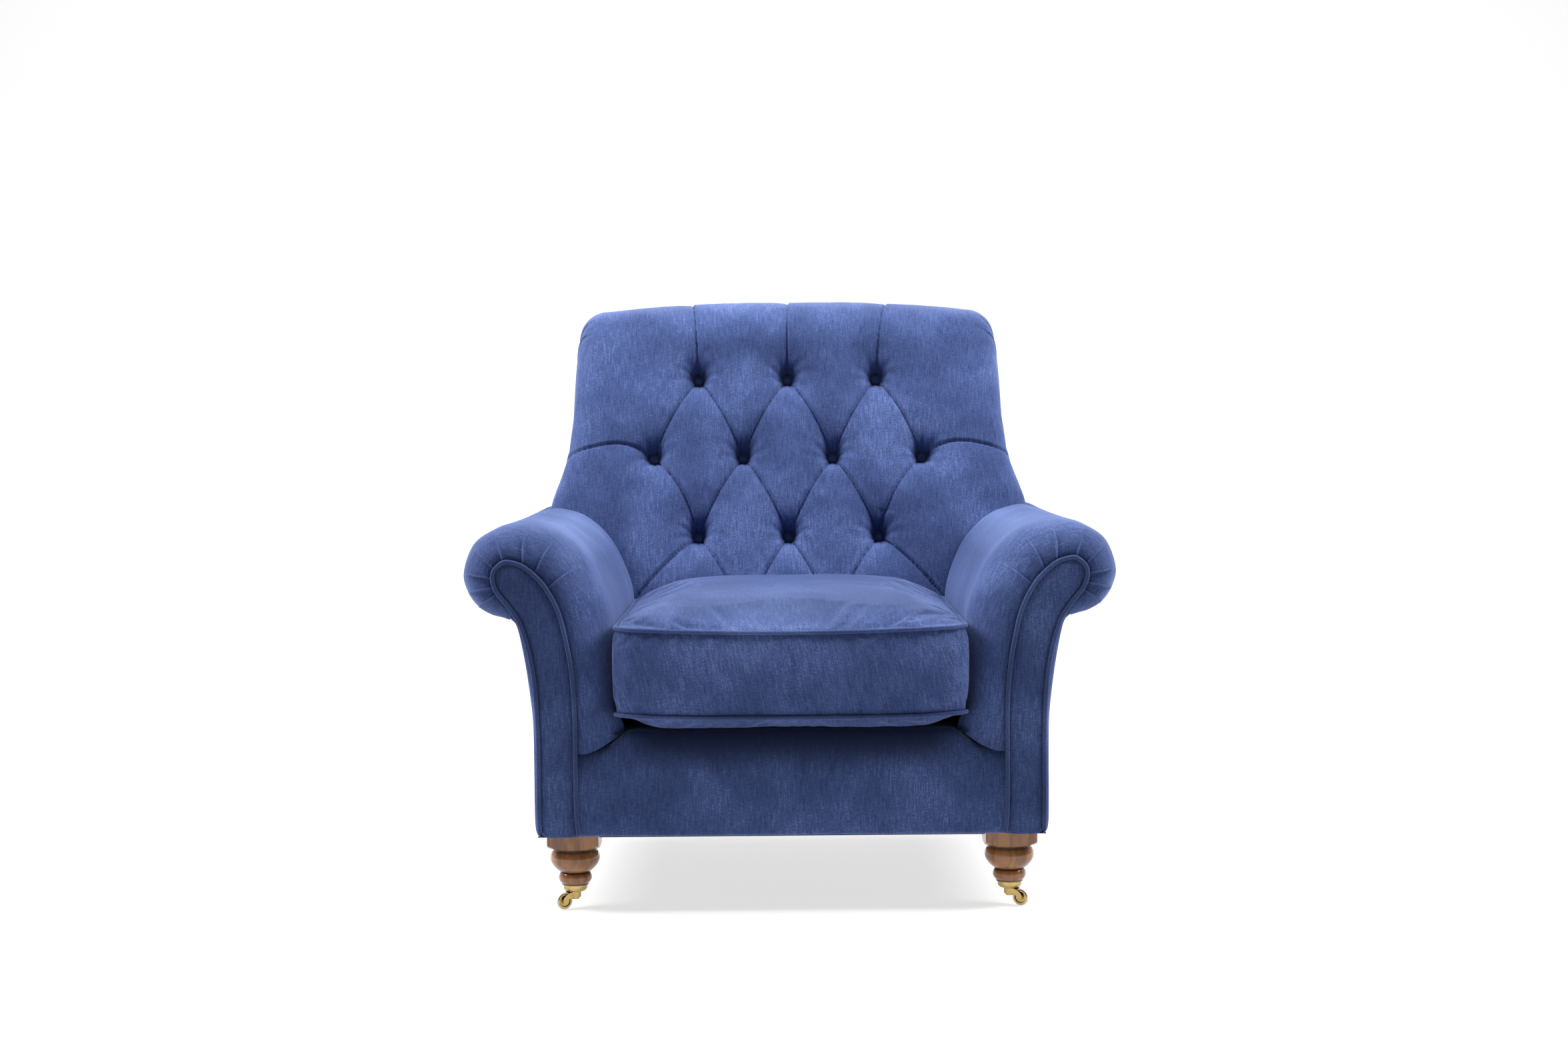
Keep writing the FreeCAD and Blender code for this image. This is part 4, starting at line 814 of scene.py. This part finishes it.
def makeArm(side):
    way = -1 if side == "left" else 1
    line, knotFar = armPairs("pairs", (4, 15))
    cordLine, skinLine = line[:, :2], line[:, 2:]
    around = lengths(skinLine)
    gap = np.linalg.norm(skinLine - cordLine, axis=1)
    deep = gap * armLook["depth"]
    front = facingLow.y + 3 * mm
    inward = (cordLine - skinLine) / gap[:, None]
    columns, clothY, hold = [], [], []
    for back, dip in ((4.0, 9.0), (2.0, 8.0), (0.6, 7.2)):
        at = cordLine + inward * back * 0.5 * mm
        columns.append(np.stack([at[:, 0], np.full(len(at), front + dip * mm), at[:, 1]], 1))
        clothY.append(np.full(len(at), -back * mm))
        hold.append(np.zeros(len(at)))
    arcLength = gap * armLook["arc"]
    for turn in np.linspace(0.02, np.pi / 2, 30):
        out, behind = np.sin(turn), 1 - np.cos(turn)
        at = cordLine + (skinLine - cordLine) * out
        seam = 7 * mm * np.exp(-turn * 60 / 1.57 * 0.16)  # dives in beside the piping
        columns.append(np.stack([at[:, 0], front + deep * behind + seam, at[:, 1]], 1))
        clothY.append(arcLength * turn / (np.pi / 2))
        fade = 1 - smoothStep(30 * mm, 62 * mm, clothY[-1])  # the pleats die away over the scroll
        hold.append(smoothStep(0.0, 0.10, turn / 1.57) * (0.12 + 0.88 * fade))
    rearY = shellY(np.clip(skinLine[:, 1], shellLow.z, shellHigh.z)) - 2 * mm
    roundRear = armLook["roundRear"]
    begin = front + deep
    for t in np.linspace(0, 1, 91)[1:] ** 1.25:
        y = begin + (rearY - roundRear - begin) * t
        columns.append(np.stack([skinLine[:, 0], y, skinLine[:, 1]], 1))
        clothY.append(arcLength + (y - begin))
        hold.append(np.full(len(skinLine), 0.12 + 0.88 * t))
    for turn in np.linspace(0, np.pi / 2, 9)[1:]:
        at = skinLine + inward * roundRear * (1 - np.cos(turn))
        y = rearY - roundRear + roundRear * np.sin(turn)
        columns.append(np.stack([at[:, 0], y, at[:, 1]], 1))
        clothY.append(arcLength + (rearY - begin) + roundRear * turn)
        hold.append(np.zeros(len(skinLine)))
    for t in np.linspace(0, 1, 12)[1:]:
        at = skinLine + inward * (roundRear + (gap + 27 * mm - roundRear) * t)[:, None]
        columns.append(np.stack([at[:, 0], rearY + 1 * mm * t, at[:, 1]], 1))
        clothY.append(arcLength + (rearY - begin) + roundRear * 1.57 + gap * t)
        hold.append(np.zeros(len(skinLine)))
    grid = np.stack(columns, 1)
    # the cover turns in under the cushion at the arm's foot
    foot = 1 - smoothStep(armCrest - 0.345, armCrest - 0.270, grid[:, :, 2])
    foot = foot * (1 - smoothStep(front + 0.03, front + 0.11, grid[:, :, 1]))
    foot = foot * (grid[:, :, 0] < seatHalf + 0.06)
    out = np.clip((seatHalf + 0.056 - grid[:, :, 0]) / 0.056, 0, 1)
    grid[:, :, 0] -= 22 * mm * foot * out ** 2
    grid[:, :, 2] += 34 * mm * foot * np.clip((out - 0.2) / 0.8, 0, 1) ** 1.7
    # the arm sinks a little between its front and the back
    run = (grid[:, :, 1] - front) / 0.78
    nearCrest = smoothStep(armCrest - 0.12, armCrest - 0.02, grid[:, :, 2])
    grid[:, :, 2] -= 3.0 * mm * np.sin(np.pi * np.clip(run, 0, 1)) * nearCrest
    cloth = np.stack([np.repeat(around[:, None], len(columns), 1), np.stack(clothY, 1)], -1)
    grid[:, :, 0] *= way
    end = side.capitalize()
    skin = gridMesh(f"armPad{end}", grid, cloth, {"hold": np.stack(hold, 1)}, flip=way > 0, turned=True)
    lines = []
    for k, knot in enumerate(armLook["pleats"]):
        s = knotFar[knot]
        reachHere = armLook["pleatLengths"][k] * mm * (0.95 + 0.1 * random.random())
        lines.append([(s, -0.004), (s + 0.001, reachHere * 0.5), (s + 0.001 * (k - 3.5), reachHere)])
    lineMesh = lineObject("armPleats", lines)
    spots = pointObject("armPleatEnds", [line[-1] for line in lines])
    skin = grown(skin, creases, {
        "Creases": lineMesh, "Buttons": spots, "Seed": 3.1 if way < 0 else 8.6, "Finish": blueVelvet,
        **armLook["sewing"]})
    drop(lineMesh, spots)
    settle(skin, "chair", "velvet", f"arm_pad_{side}")

    # the covered outside of the arm
    line, _ = armPairs("outsidePairs")
    cordSide, outside = line[:, :2], line[:, 2:]
    columns, clothY = [], []
    small = np.maximum(np.linalg.norm(outside - cordSide, axis=1), 1 * mm)
    for turn in np.linspace(0, np.pi / 2, 8):
        at = cordSide + (outside - cordSide) * np.sin(turn)
        columns.append(np.stack([at[:, 0], front + 2 * mm + small * (1 - np.cos(turn)), at[:, 1]], 1))
        clothY.append(small * turn)
    rearEdge = shellY(np.clip(outside[:, 1], shellLow.z, shellHigh.z))
    begin = columns[-1][:, 1]
    for t in np.linspace(0, 1, 90)[1:]:
        y = begin + (rearEdge - 4 * mm - begin) * t
        belly = 2.5 * mm * np.sin(np.pi * t) * smoothStep(shellLow.z, shellLow.z + 0.08, outside[:, 1])
        columns.append(np.stack([outside[:, 0] + belly, y, outside[:, 1]], 1))
        clothY.append(small * 1.57 + y - begin)
    for back, y in ((1.2, 1.0), (5.0, 0.0), (12.0, -1.5), (34.0, -3.0)):
        rear = rearEdge + (y - 4) * mm + 3 * mm
        columns.append(np.stack([outside[:, 0] - back * mm, rear, outside[:, 1]], 1))
        clothY.append(small * 1.57 + rearEdge - begin + back * mm)
    grid = np.stack(columns, 1)
    cloth = np.stack([np.repeat(lengths(outside)[:, None], len(columns), 1), np.stack(clothY, 1)], -1)
    grid[:, :, 0] *= way
    panel = gridMesh(f"outsideArm{end}", grid, cloth, flip=way > 0, turned=True)
    panel.data.materials.append(blueVelvet)
    settle(panel, "chair", "velvet", f"outside_arm_{side}")

    # the facing, a padded board inside its piping
    head = armPairs("pairs")[0][:, :2]
    foot = np.array([[seatHalf + a * mm, armCrest + b * mm] for a, b in armLook["facingFoot"]])
    tail = armPairs("outsidePairs")[0][1:, :2]
    whole = evenly(np.vstack([foot, head, tail]), 3 * mm)
    cordPath = np.stack([whole[:, 0] * way, np.full(len(whole), front), whole[:, 1]], 1)
    cordPath = cordPath[whole[:, 1] > shellLow.z + 3.6 * mm]
    cord = makeCord(f"facingPiping{end}", cordPath, 3.4 * mm, shadedFacingCord, "chair")
    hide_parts(f"facing_piping_{side}")
    peak = np.argmax(whole[:, 1] - 0.25 * np.abs(whole[:, 0] - (seatHalf + 0.148)))
    inner, outer = evenly(whole[:peak + 1], 3 * mm), whole[peak:][::-1]
    want, have = np.linspace(0, 1, len(inner)), np.linspace(0, 1, len(outer))
    outer = np.stack([np.interp(want, have, outer[:, k]) for k in (0, 1)], 1)
    across = np.linspace(0, 1, 26)
    grid = inner[:, None, :] * (1 - across)[None, :, None] + outer[:, None, :] * across[None, :, None]
    width = np.linalg.norm(outer - inner, axis=1)
    dome = (1 - np.abs(2 * across - 1) ** 3.4)[None, :] * np.minimum(7.5 * mm, width * 0.16)[:, None]
    depth = front + 5.0 * mm - dome
    grid = np.stack([grid[:, :, 0] * way, depth, grid[:, :, 1]], -1)
    under = grid[:1].copy()
    under[:, :, 1] = facingHigh.y
    grid = np.concatenate([under, grid], 0)
    cloth = np.stack([np.abs(grid[:, :, 0]), grid[:, :, 2]], -1)
    # painted shade: the facing's velvet is darkened a little all over
    worn = np.full(grid.shape[:2], 0.20)
    board = gridMesh(f"armFacing{end}", grid, cloth, {"worn": worn}, flip=way > 0)
    board.data.materials.append(blueVelvet)
    settle(board, "chair", "velvet", f"arm_facing_{side}")


for armSide in ("left", "right"):
    makeArm(armSide)
print("arms made")


def makeBorder():
    # the padded rail front; its top drops where the arm covers come down to meet it
    low, high, front = borderLow.z, borderHigh.z, borderLow.y
    half = seatHalf + 56 * mm
    xs = np.linspace(-half, half, 232)
    columns = []
    for x in xs:
        drop = np.interp(abs(x), [0, 0.232, 0.243, 0.254, 0.272, 0.294, 0.33], [0, 0, 1, 8, 22, 28.5, 30])
        topZ = high - drop * mm
        profile = [(front + 40 * mm, low), (front + 12 * mm, low), (front + 4 * mm, low + 1.5 * mm),
                   (front + 0.5 * mm, low + 7 * mm), (front - 0.5 * mm, low + 40 * mm),
                   (front - 1.0 * mm, (low + topZ) / 2), (front + 2 * mm, topZ - 42 * mm),
                   (front + 6 * mm, topZ - 20 * mm), (front + 13 * mm, topZ - 6 * mm), (front + 24 * mm, topZ),
                   (front + 54 * mm, topZ)]
        columns.append(smoothLine(profile, 3 * mm))
    count = 84
    resampled = []
    for column in columns:
        t = np.linspace(0, 1, len(column))
        resampled.append(np.stack([np.interp(np.linspace(0, 1, count), t, column[:, k]) for k in (0, 1)], 1))
    grid = np.stack([np.concatenate([np.full((count, 1), x), c], 1) for x, c in zip(xs, resampled)], 0)
    cloth = np.stack([grid[:, :, 0], grid[:, :, 2]], -1)
    below = np.interp(np.abs(grid[:, :, 0]), [0, 0.232, 0.3], [high, high, high - 30 * mm]) - grid[:, :, 2]
    inside = 1 - smoothStep(0.20, 0.29, np.abs(grid[:, :, 0]))
    worn = 0.95 * (1 - smoothStep(14 * mm, 70 * mm, below)) * inside  # painted shadow under the cushion's front
    skin = gridMesh("frontBorder", grid, cloth, {"worn": worn})
    skin.data.materials.append(blueVelvet)
    settle(skin, "chair", "velvet", "front_border")


# height and half the outside back's width there, in mm
outsideBackWidths = [(115, 382), (250, 384), (300, 387), (347, 392), (394, 399), (430, 406), (445, 414),
                     (470, 418), (565, 420), (607, 413), (650, 399), (692, 388), (749, 380), (815, 375)]


def makeOutsideBack():
    zs = np.linspace(shellLow.z, shellHigh.z + 9 * mm, 150)
    table = np.array(outsideBackWidths) * mm
    half = np.interp(zs, table[:, 0], table[:, 1])
    share = np.sin(np.linspace(-1, 1, 170) * np.pi / 2)
    grid = np.zeros((len(zs), len(share), 3))
    for k, (z, h) in enumerate(zip(zs, half)):
        x = share * h
        edge = np.clip((h - np.abs(x)) / (9 * mm), 0, 1)
        endZ = np.clip(min(z - zs[0], zs[-1] - z) / (9 * mm), 0, 1)
        soft = (1 - (1 - edge) ** 2) ** 0.5 * (1 - (1 - endZ) ** 2) ** 0.5
        y = shellY(z) - 8 * mm + 8 * mm * soft + 2.0 * mm * (1 - share ** 2)
        # its top corners rise to meet the roll's ends
        rise = smoothStep(0.300, 0.372, np.abs(x)) * smoothStep(zs[-1] - 60 * mm, zs[-1], z)
        y = y - 12 * mm * smoothStep(0.6, 1.0, rise)
        grid[k] = np.stack([x * (1 - 0.045 * rise), y, z + 22 * mm * rise], 1)
    grid = np.concatenate([grid, grid[-1:] - np.array([0, 24 * mm, 4 * mm])], 0)
    # the edges turn in under the covers beside
    tucked = grid * np.array([0.968, 1, 1]) - np.array([0, 26 * mm, 0])
    grid = np.concatenate([tucked[:, :1], grid, tucked[:, -1:]], 1)
    cloth = np.stack([grid[:, :, 0], grid[:, :, 2]], -1)
    skin = gridMesh("outsideBack", grid, cloth, flip=True)
    skin.data.materials.append(blueVelvet)
    settle(skin, "chair", "velvet", "outside_back")


def makePlatform():
    xs, ys = np.linspace(platformLow.x, platformHigh.x, 110), np.linspace(platformLow.y, platformHigh.y, 110)
    grid = np.zeros((110, 110, 3))
    for a, x in enumerate(xs):
        for b, y in enumerate(ys):
            u, w = abs(2 * a / 109 - 1), abs(2 * b / 109 - 1)
            dome = (1 - u ** 6) * (1 - w ** 6)
            quilt = 1.2 * mm * abs(math.sin(a * math.pi / 22)) * abs(math.sin(b * math.pi / 22)) ** 0.5
            grid[a, b] = x, y, platformHigh.z - 9 * mm + 8.0 * mm * dome + quilt * 0.6
    skin = gridMesh("seatPlatform", grid, grid[:, :, :2].copy())
    skin.data.materials.append(platformCloth)
    settle(skin, "chair", "platform_cloth", "seat_platform")


makeBorder()
makeOutsideBack()
makePlatform()
print("base made")


cushionLook = {
    "crown": 37 * mm, "belly": 18 * mm, "boxBulge": 13 * mm, "corner": 24 * mm, "dip": 8 * mm,
    # the last entry on the next line sets how dark the painted shade on the cushion's top is
    "lift": 7 * mm, "pull": 5 * mm, "worn": 0.40,
    # the simulation: voxel, pressure, how far a point may move, how near a seam is held, and the cloth's ease
    "grid": 5.0 * mm, "pressure": 4.0, "cap": 12 * mm, "held": 5 * mm, "ease": -0.025,
    "between": seatHalf - 1 * mm,
}


def cushionEdge(count):
    # the seam line in plan: straight-ish sides that pull in between rounded corners
    half = (cordHigh.x - cordLow.x) / 2 - 3 * mm
    y0, y1 = cordLow.y + 3 * mm, cordHigh.y - 3 * mm
    mid, deep = (y0 + y1) / 2, (y1 - y0) / 2
    r = cushionLook["corner"]
    corners = []
    for sx, sy, start in ((1, 1, 0), (-1, 1, 90), (-1, -1, 180), (1, -1, 270)):
        for a in np.radians(np.linspace(start, start + 90, 9)):
            corners.append((sx * (half - r) + r * math.cos(a), mid + sy * (deep - r) + r * math.sin(a)))
    corners = np.array(corners + corners[:1])
    line = evenly(corners, 1 * mm)
    pull = cushionLook["pull"]
    px = np.clip(np.abs(line[:, 0]) / (half - r), 0, 1)
    py = np.clip(np.abs(line[:, 1] - mid) / (deep - r), 0, 1)
    onSide = np.abs(np.abs(line[:, 0]) - half) < 2 * mm
    onEnd = np.abs(np.abs(line[:, 1] - mid) - deep) < 2 * mm
    line[:, 0] -= np.sign(line[:, 0]) * pull * 0.4 * (1 - py ** 2) * onSide
    line[:, 1] -= np.sign(line[:, 1] - mid) * pull * 0.4 * (1 - px ** 2) * onEnd
    t = np.linspace(0, 1, len(line))
    want = np.linspace(0, 1, count, endpoint=False)
    return np.stack([np.interp(want, t, line[:, k]) for k in (0, 1)], 1), np.array([0.0, mid])


def cushionWeave(points):
    # place on the cloth: with x and y on the faces, down the border on the sides
    return np.stack([points[..., 0] + points[..., 2] * 0.2, points[..., 1] + points[..., 2] * 0.98], -1)


def makeCushion():
    edge, centre = cushionEdge(440)
    low, high = cordLow.z + 3 * mm, cordHigh.z - 3 * mm
    front = np.clip((centre[1] - edge[:, 1]) / (seatHigh.y - centre[1]), 0, 1)
    middle = 1 - np.clip(np.abs(edge[:, 0]) / seatHalf, 0, 1) ** 2
    highLine = high - cushionLook["dip"] * front ** 4 * middle
    lowLine = low + cushionLook["lift"] * front ** 4 * (1 - middle) ** 2

    def face(rim, height, rise, rings):
        # rings from the seam in to the middle
        out = []
        for t in np.linspace(0, 1, rings + 1)[1:]:
            shrink = 1 - t
            at = centre + (edge - centre) * shrink
            u = np.clip(np.abs(at[:, 0]) / np.abs(edge[:, 0]).max(), 0, 1)
            w = np.clip(np.abs(at[:, 1] - centre[1]) / np.abs(edge[:, 1] - centre[1]).max(), 0, 1)
            if rise > 0:  # full to the rear, where it meets the back
                deep = np.where(at[:, 1] > centre[1], (1 - w ** 10) ** 0.6, (1 - w ** 2.4) ** 0.7)
                crown = (1 - u ** 3.2) ** 0.62 * deep
            else:
                crown = (1 - u ** 5) ** 0.6 * (1 - w ** 14) ** 0.5
            flatRim = rim * (1 - smoothStep(0, 0.5, t)) + rim.mean() * smoothStep(0, 0.5, t)
            out.append(np.stack([at[:, 0], at[:, 1], flatRim + rise * crown], 1))
        return out

    columns = face(lowLine, low, -cushionLook["belly"], 46)[::-1]
    outward = edge - centre
    outward /= np.linalg.norm(outward, axis=1, keepdims=True)
    # square the outward direction up so that the sides bulge straight out
    sideways = np.stack([np.gradient(edge[:, 1]), -np.gradient(edge[:, 0])], 1)
    sideways /= np.maximum(np.linalg.norm(sideways, axis=1, keepdims=True), 1e-9)
    sideways *= np.sign((sideways * outward).sum(1))[:, None]
    bulge = cushionLook["boxBulge"] * (0.25 + 0.75 * (front > 0.9))
    for t in np.linspace(0, 1, 27):
        swell = 1 - np.abs(2 * t ** 1.25 - 1) ** 2.4
        at = edge + sideways * (bulge * 0.5 * swell)[:, None]
        columns.append(np.stack([at[:, 0], at[:, 1], lowLine + (highLine - lowLine) * t], 1))
    columns += face(highLine, high, cushionLook["crown"], 52)
    grid = np.stack(columns, 1)
    rings = grid.shape[1]
    topFace = smoothStep(rings - 50, rings - 38, np.arange(rings))  # painted shade on the cushion's top
    worn = np.tile(topFace * cushionLook["worn"], (len(grid), 1))
    skin = gridMesh("seatCushion", grid, cushionWeave(grid), {"worn": worn}, loopRows=True)
    closeHoles(skin)
    return skin, edge, highLine, lowLine


def makeCore(cover):
    # the foam inside the cover, a little smaller all round
    core = bpy.data.objects.new("cushionCore", cover.data.copy())
    bpy.context.scene.collection.objects.link(core)
    shrink = core.modifiers.new("thin", "DECIMATE")
    shrink.ratio = 0.12
    bpy.context.view_layer.update()
    mesh = bpy.data.meshes.new_from_object(core.evaluated_get(bpy.context.evaluated_depsgraph_get()))
    core.modifiers.clear()
    points = np.array([v.co[:] for v in mesh.vertices])
    middle = (points.min(0) + points.max(0)) / 2
    half = (points.max(0) - points.min(0)) / 2
    points = middle + (points - middle) * (1 - 8 * mm / half)
    mesh.vertices.foreach_set("co", points.ravel())
    core.data = mesh
    mesh.materials.clear()
    mesh.materials.append(foamCloth)
    settle(core, "seat_cushion", "foam", "cushion_core")


def puffed(obj, rims):
    # blows the sewn cover up a little with its seams held, so the cloth strains between them
    scene = bpy.context.scene
    start = obj.copy()
    start.data = obj.data.copy()
    scene.collection.objects.link(start)
    start.data.remesh_voxel_size = cushionLook["grid"]
    bpy.ops.object.select_all(action="DESELECT")
    start.select_set(True)
    bpy.context.view_layer.objects.active = start
    bpy.ops.object.voxel_remesh()
    mesh = start.data
    before = np.zeros(len(mesh.vertices) * 3)
    mesh.vertices.foreach_get("co", before)
    before = before.reshape(-1, 3)
    nearRim = np.full(len(before), 1.0)
    for first in range(0, len(before), 4000):
        block = before[first:first + 4000]
        nearRim[first:first + 4000] = np.sqrt(((block[:, None, :] - rims[None]) ** 2).sum(2)).min(1)
    group = start.vertex_groups.new(name="seams")
    for k in np.nonzero(nearRim < cushionLook["held"])[0]:
        group.add([int(k)], 1.0, "REPLACE")
    cloth = start.modifiers.new("cover", "CLOTH")
    cloth.settings.quality = 5
    cloth.settings.mass = 0.25
    cloth.settings.tension_stiffness = cloth.settings.compression_stiffness = 14
    cloth.settings.shear_stiffness = 6
    cloth.settings.bending_stiffness = 0.4
    cloth.settings.use_pressure = True
    cloth.settings.uniform_pressure_force = cushionLook["pressure"]
    cloth.settings.shrink_min = cushionLook["ease"]
    cloth.settings.vertex_group_mass = "seams"
    cloth.settings.effector_weights.gravity = 0.0
    cloth.collision_settings.use_self_collision = False
    cloth.point_cache.frame_start, cloth.point_cache.frame_end = 1, 20
    for number in range(1, 21):
        scene.frame_set(number)
    graph = bpy.context.evaluated_depsgraph_get()
    done = bpy.data.meshes.new_from_object(start.evaluated_get(graph))
    after = np.zeros(len(done.vertices) * 3)
    done.vertices.foreach_get("co", after)
    after = after.reshape(-1, 3)
    start.modifiers.clear()
    scene.frame_set(1)
    move = after - before
    far = np.linalg.norm(move, axis=1, keepdims=True)
    move *= np.minimum(1.0, cushionLook["cap"] / np.maximum(far, 1e-9))
    print("cover strained by up to", round(float(far.max()) / mm, 1), "mm")
    after = before + move
    after[:, 2] = np.maximum(after[:, 2], platformHigh.z + 0.5 * mm)
    past = np.maximum(np.abs(after[:, 0]) - cushionLook["between"], 0)  # the arms hold its sides in
    after[:, 0] -= np.sign(after[:, 0]) * past * 0.8
    done.vertices.foreach_set("co", after.ravel())
    start.data = done
    divide = start.modifiers.new("smooth", "SUBSURF")
    divide.levels = divide.render_levels = 1
    bpy.context.view_layer.update()
    smooth = bpy.data.meshes.new_from_object(start.evaluated_get(bpy.context.evaluated_depsgraph_get()))
    start.modifiers.clear()
    points = np.zeros(len(smooth.vertices) * 3)
    smooth.vertices.foreach_get("co", points)
    points = points.reshape(-1, 3)
    layWeave(smooth, cushionWeave(points))
    smooth.polygons.foreach_set("use_smooth", np.ones(len(smooth.polygons), bool))
    obj.data = smooth
    bpy.data.objects.remove(start)


def makeZip():
    # teeth along the tape, from side to side of it in turn
    zipLow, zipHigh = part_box("cushion_zip")
    y, z = zipHigh.y + 0.6 * mm, (zipLow.z + zipHigh.z) / 2
    xs = np.arange(zipLow.x + 3 * mm, zipHigh.x - 3 * mm, 2.2 * mm)
    points = np.stack([xs, np.full(len(xs), y), z + 0.5 * mm * (-1.0) ** np.arange(len(xs))], 1)
    tooth = bpy.data.meshes.new("tooth")
    work = bmesh.new()
    bmesh.ops.create_cube(work, size=1.0)
    bmesh.ops.scale(work, vec=(1.3 * mm, 3.4 * mm, 1.4 * mm), verts=work.verts)
    work.to_mesh(tooth)
    work.free()
    shape = bpy.data.objects.new("tooth", tooth)
    bpy.context.scene.collection.objects.link(shape)
    teeth = pointObject("zipTeeth", points, np.tile([0.0, 1.0, 0.0], (len(xs), 1)))
    teeth = grown(teeth, scatter, {"Shape": shape, "Vary": 0.02, "Seed": 2, "Finish": polishedBrass})
    drop(shape)
    settle(teeth, "seat_cushion", "polished_brass")


cushionSkin, cushionRim, rimHigh, rimLow = makeCushion()
rims = np.vstack([np.stack([cushionRim[:, 0], cushionRim[:, 1], z], 1)[::2] for z in (rimHigh, rimLow)])
puffed(cushionSkin, rims)
makeZip()
cushionSkin.data.materials.clear()
cushionSkin.data.materials.append(blueVelvet)
settle(cushionSkin, "seat_cushion", "velvet", "seat_cushion", "cushion_piping")
makeCore(cushionSkin)
for name, heights in (("cushionPipingTop", rimHigh + 1 * mm), ("cushionPipingBottom", rimLow - 1 * mm)):
    around = np.stack([np.gradient(cushionRim[:, 1]), -np.gradient(cushionRim[:, 0])], 1)
    around /= np.linalg.norm(around, axis=1, keepdims=True)
    path = np.stack([*(cushionRim + around * 2.2 * mm).T, heights], 1)
    makeCord(name, path, 3.2 * mm, pipingVelvet, "seat_cushion", closed=True)
print("cushion made")


stageLook = {
    # metres and degrees; the camera stands straight ahead of the chair's front
    "ahead": 3.528, "height": 0.7395, "side": -0.008, "down": 2.545, "roll": 0.5, "lens": 55.1,
    "floor": ((0.33, 0.33, 0.33), (0.35, 0.35, 0.35)), "floorGlow": 0.68, "room": 0.12,
    # name, place, width and height, watts, and what it points at
    "lights": [("topLight", (0.0, -0.30, 3.0), (2.2, 1.2), 50, (0.0, 0.05, 0.5)),
               ("leftLight", (-2.4, -0.30, 2.6), (1.4, 1.8), 150, (-0.3, -0.1, 0.5)),
               ("rightLight", (2.4, -0.30, 2.6), (1.4, 1.8), 140, (0.3, -0.1, 0.5)),
               ("frontLight", (-0.6, -4.2, 1.9), (2.4, 1.6), 2, (0.0, 0.0, 0.6)),
               ("rearLight", (0.0, 2.2, 2.6), (3.0, 1.2), 34, (0.0, 0.2, 0.8))],
}


def makeStage():
    camera = bpy.data.cameras.new("frontView")
    camera.lens = stageLook["lens"]
    camera.sensor_width = 36
    camera.clip_end = 30
    obj = bpy.data.objects.new("frontView", camera)
    bpy.context.scene.collection.objects.link(obj)
    obj.location = (stageLook["side"], cadLow.y - stageLook["ahead"], stageLook["height"])
    down, roll = math.radians(stageLook["down"]), math.radians(stageLook["roll"])
    turn = Matrix.Rotation(math.pi / 2 - down, 4, "X") @ Matrix.Rotation(-roll, 4, "Z")
    obj.rotation_euler = turn.to_euler()
    bpy.context.scene.camera = obj

    floorMaterial, tree, shader = newMaterial("paleFloor")
    fleck = noise(tree, objectPlace(tree), 3.0, 2.0)
    feedAll(tree, shader, {
        "Base Color": mixColour(tree, fleck, *stageLook["floor"]), "Roughness": 0.9,
        "Emission Color": (1.0, 1.0, 1.0, 1.0), "Emission Strength": stageLook["floorGlow"]})
    xs = np.linspace(-16, 16, 33)
    sweep = [(y, 0.0) for y in np.linspace(-16, 2.2, 30)]
    bend = np.linspace(0, math.pi / 2, 16)[1:]  # the floor curves up behind the chair
    sweep += [(2.2 + 1.6 * math.sin(a), 1.6 - 1.6 * math.cos(a)) for a in bend]
    sweep += [(3.8, z) for z in np.linspace(1.8, 6, 10)]
    grid = np.array([[(x, y, z) for y, z in sweep] for x in xs])
    floor = gridMesh("studioSweep", grid)
    floor.data.materials.append(floorMaterial)

    for name, place, extent, power, aim in stageLook["lights"]:
        light = bpy.data.lights.new(name, "AREA")
        light.shape = "RECTANGLE"
        light.size, light.size_y = extent
        light.energy = power
        lamp = bpy.data.objects.new(name, light)
        lamp.location = place
        lamp.rotation_euler = Vector(np.array(aim) - np.array(place)).to_track_quat("-Z", "Y").to_euler()
        bpy.context.scene.collection.objects.link(lamp)
    world = bpy.data.worlds.new("paleRoom")
    bpy.context.scene.world = world
    world.use_nodes = True
    air = world.node_tree.nodes["Background"]
    air.inputs[0].default_value = (1.0, 1.0, 1.0, 1.0)
    air.inputs[1].default_value = stageLook["room"]


makeStage()
bpy.context.scene.view_settings.view_transform = "Standard"
print("stage made")
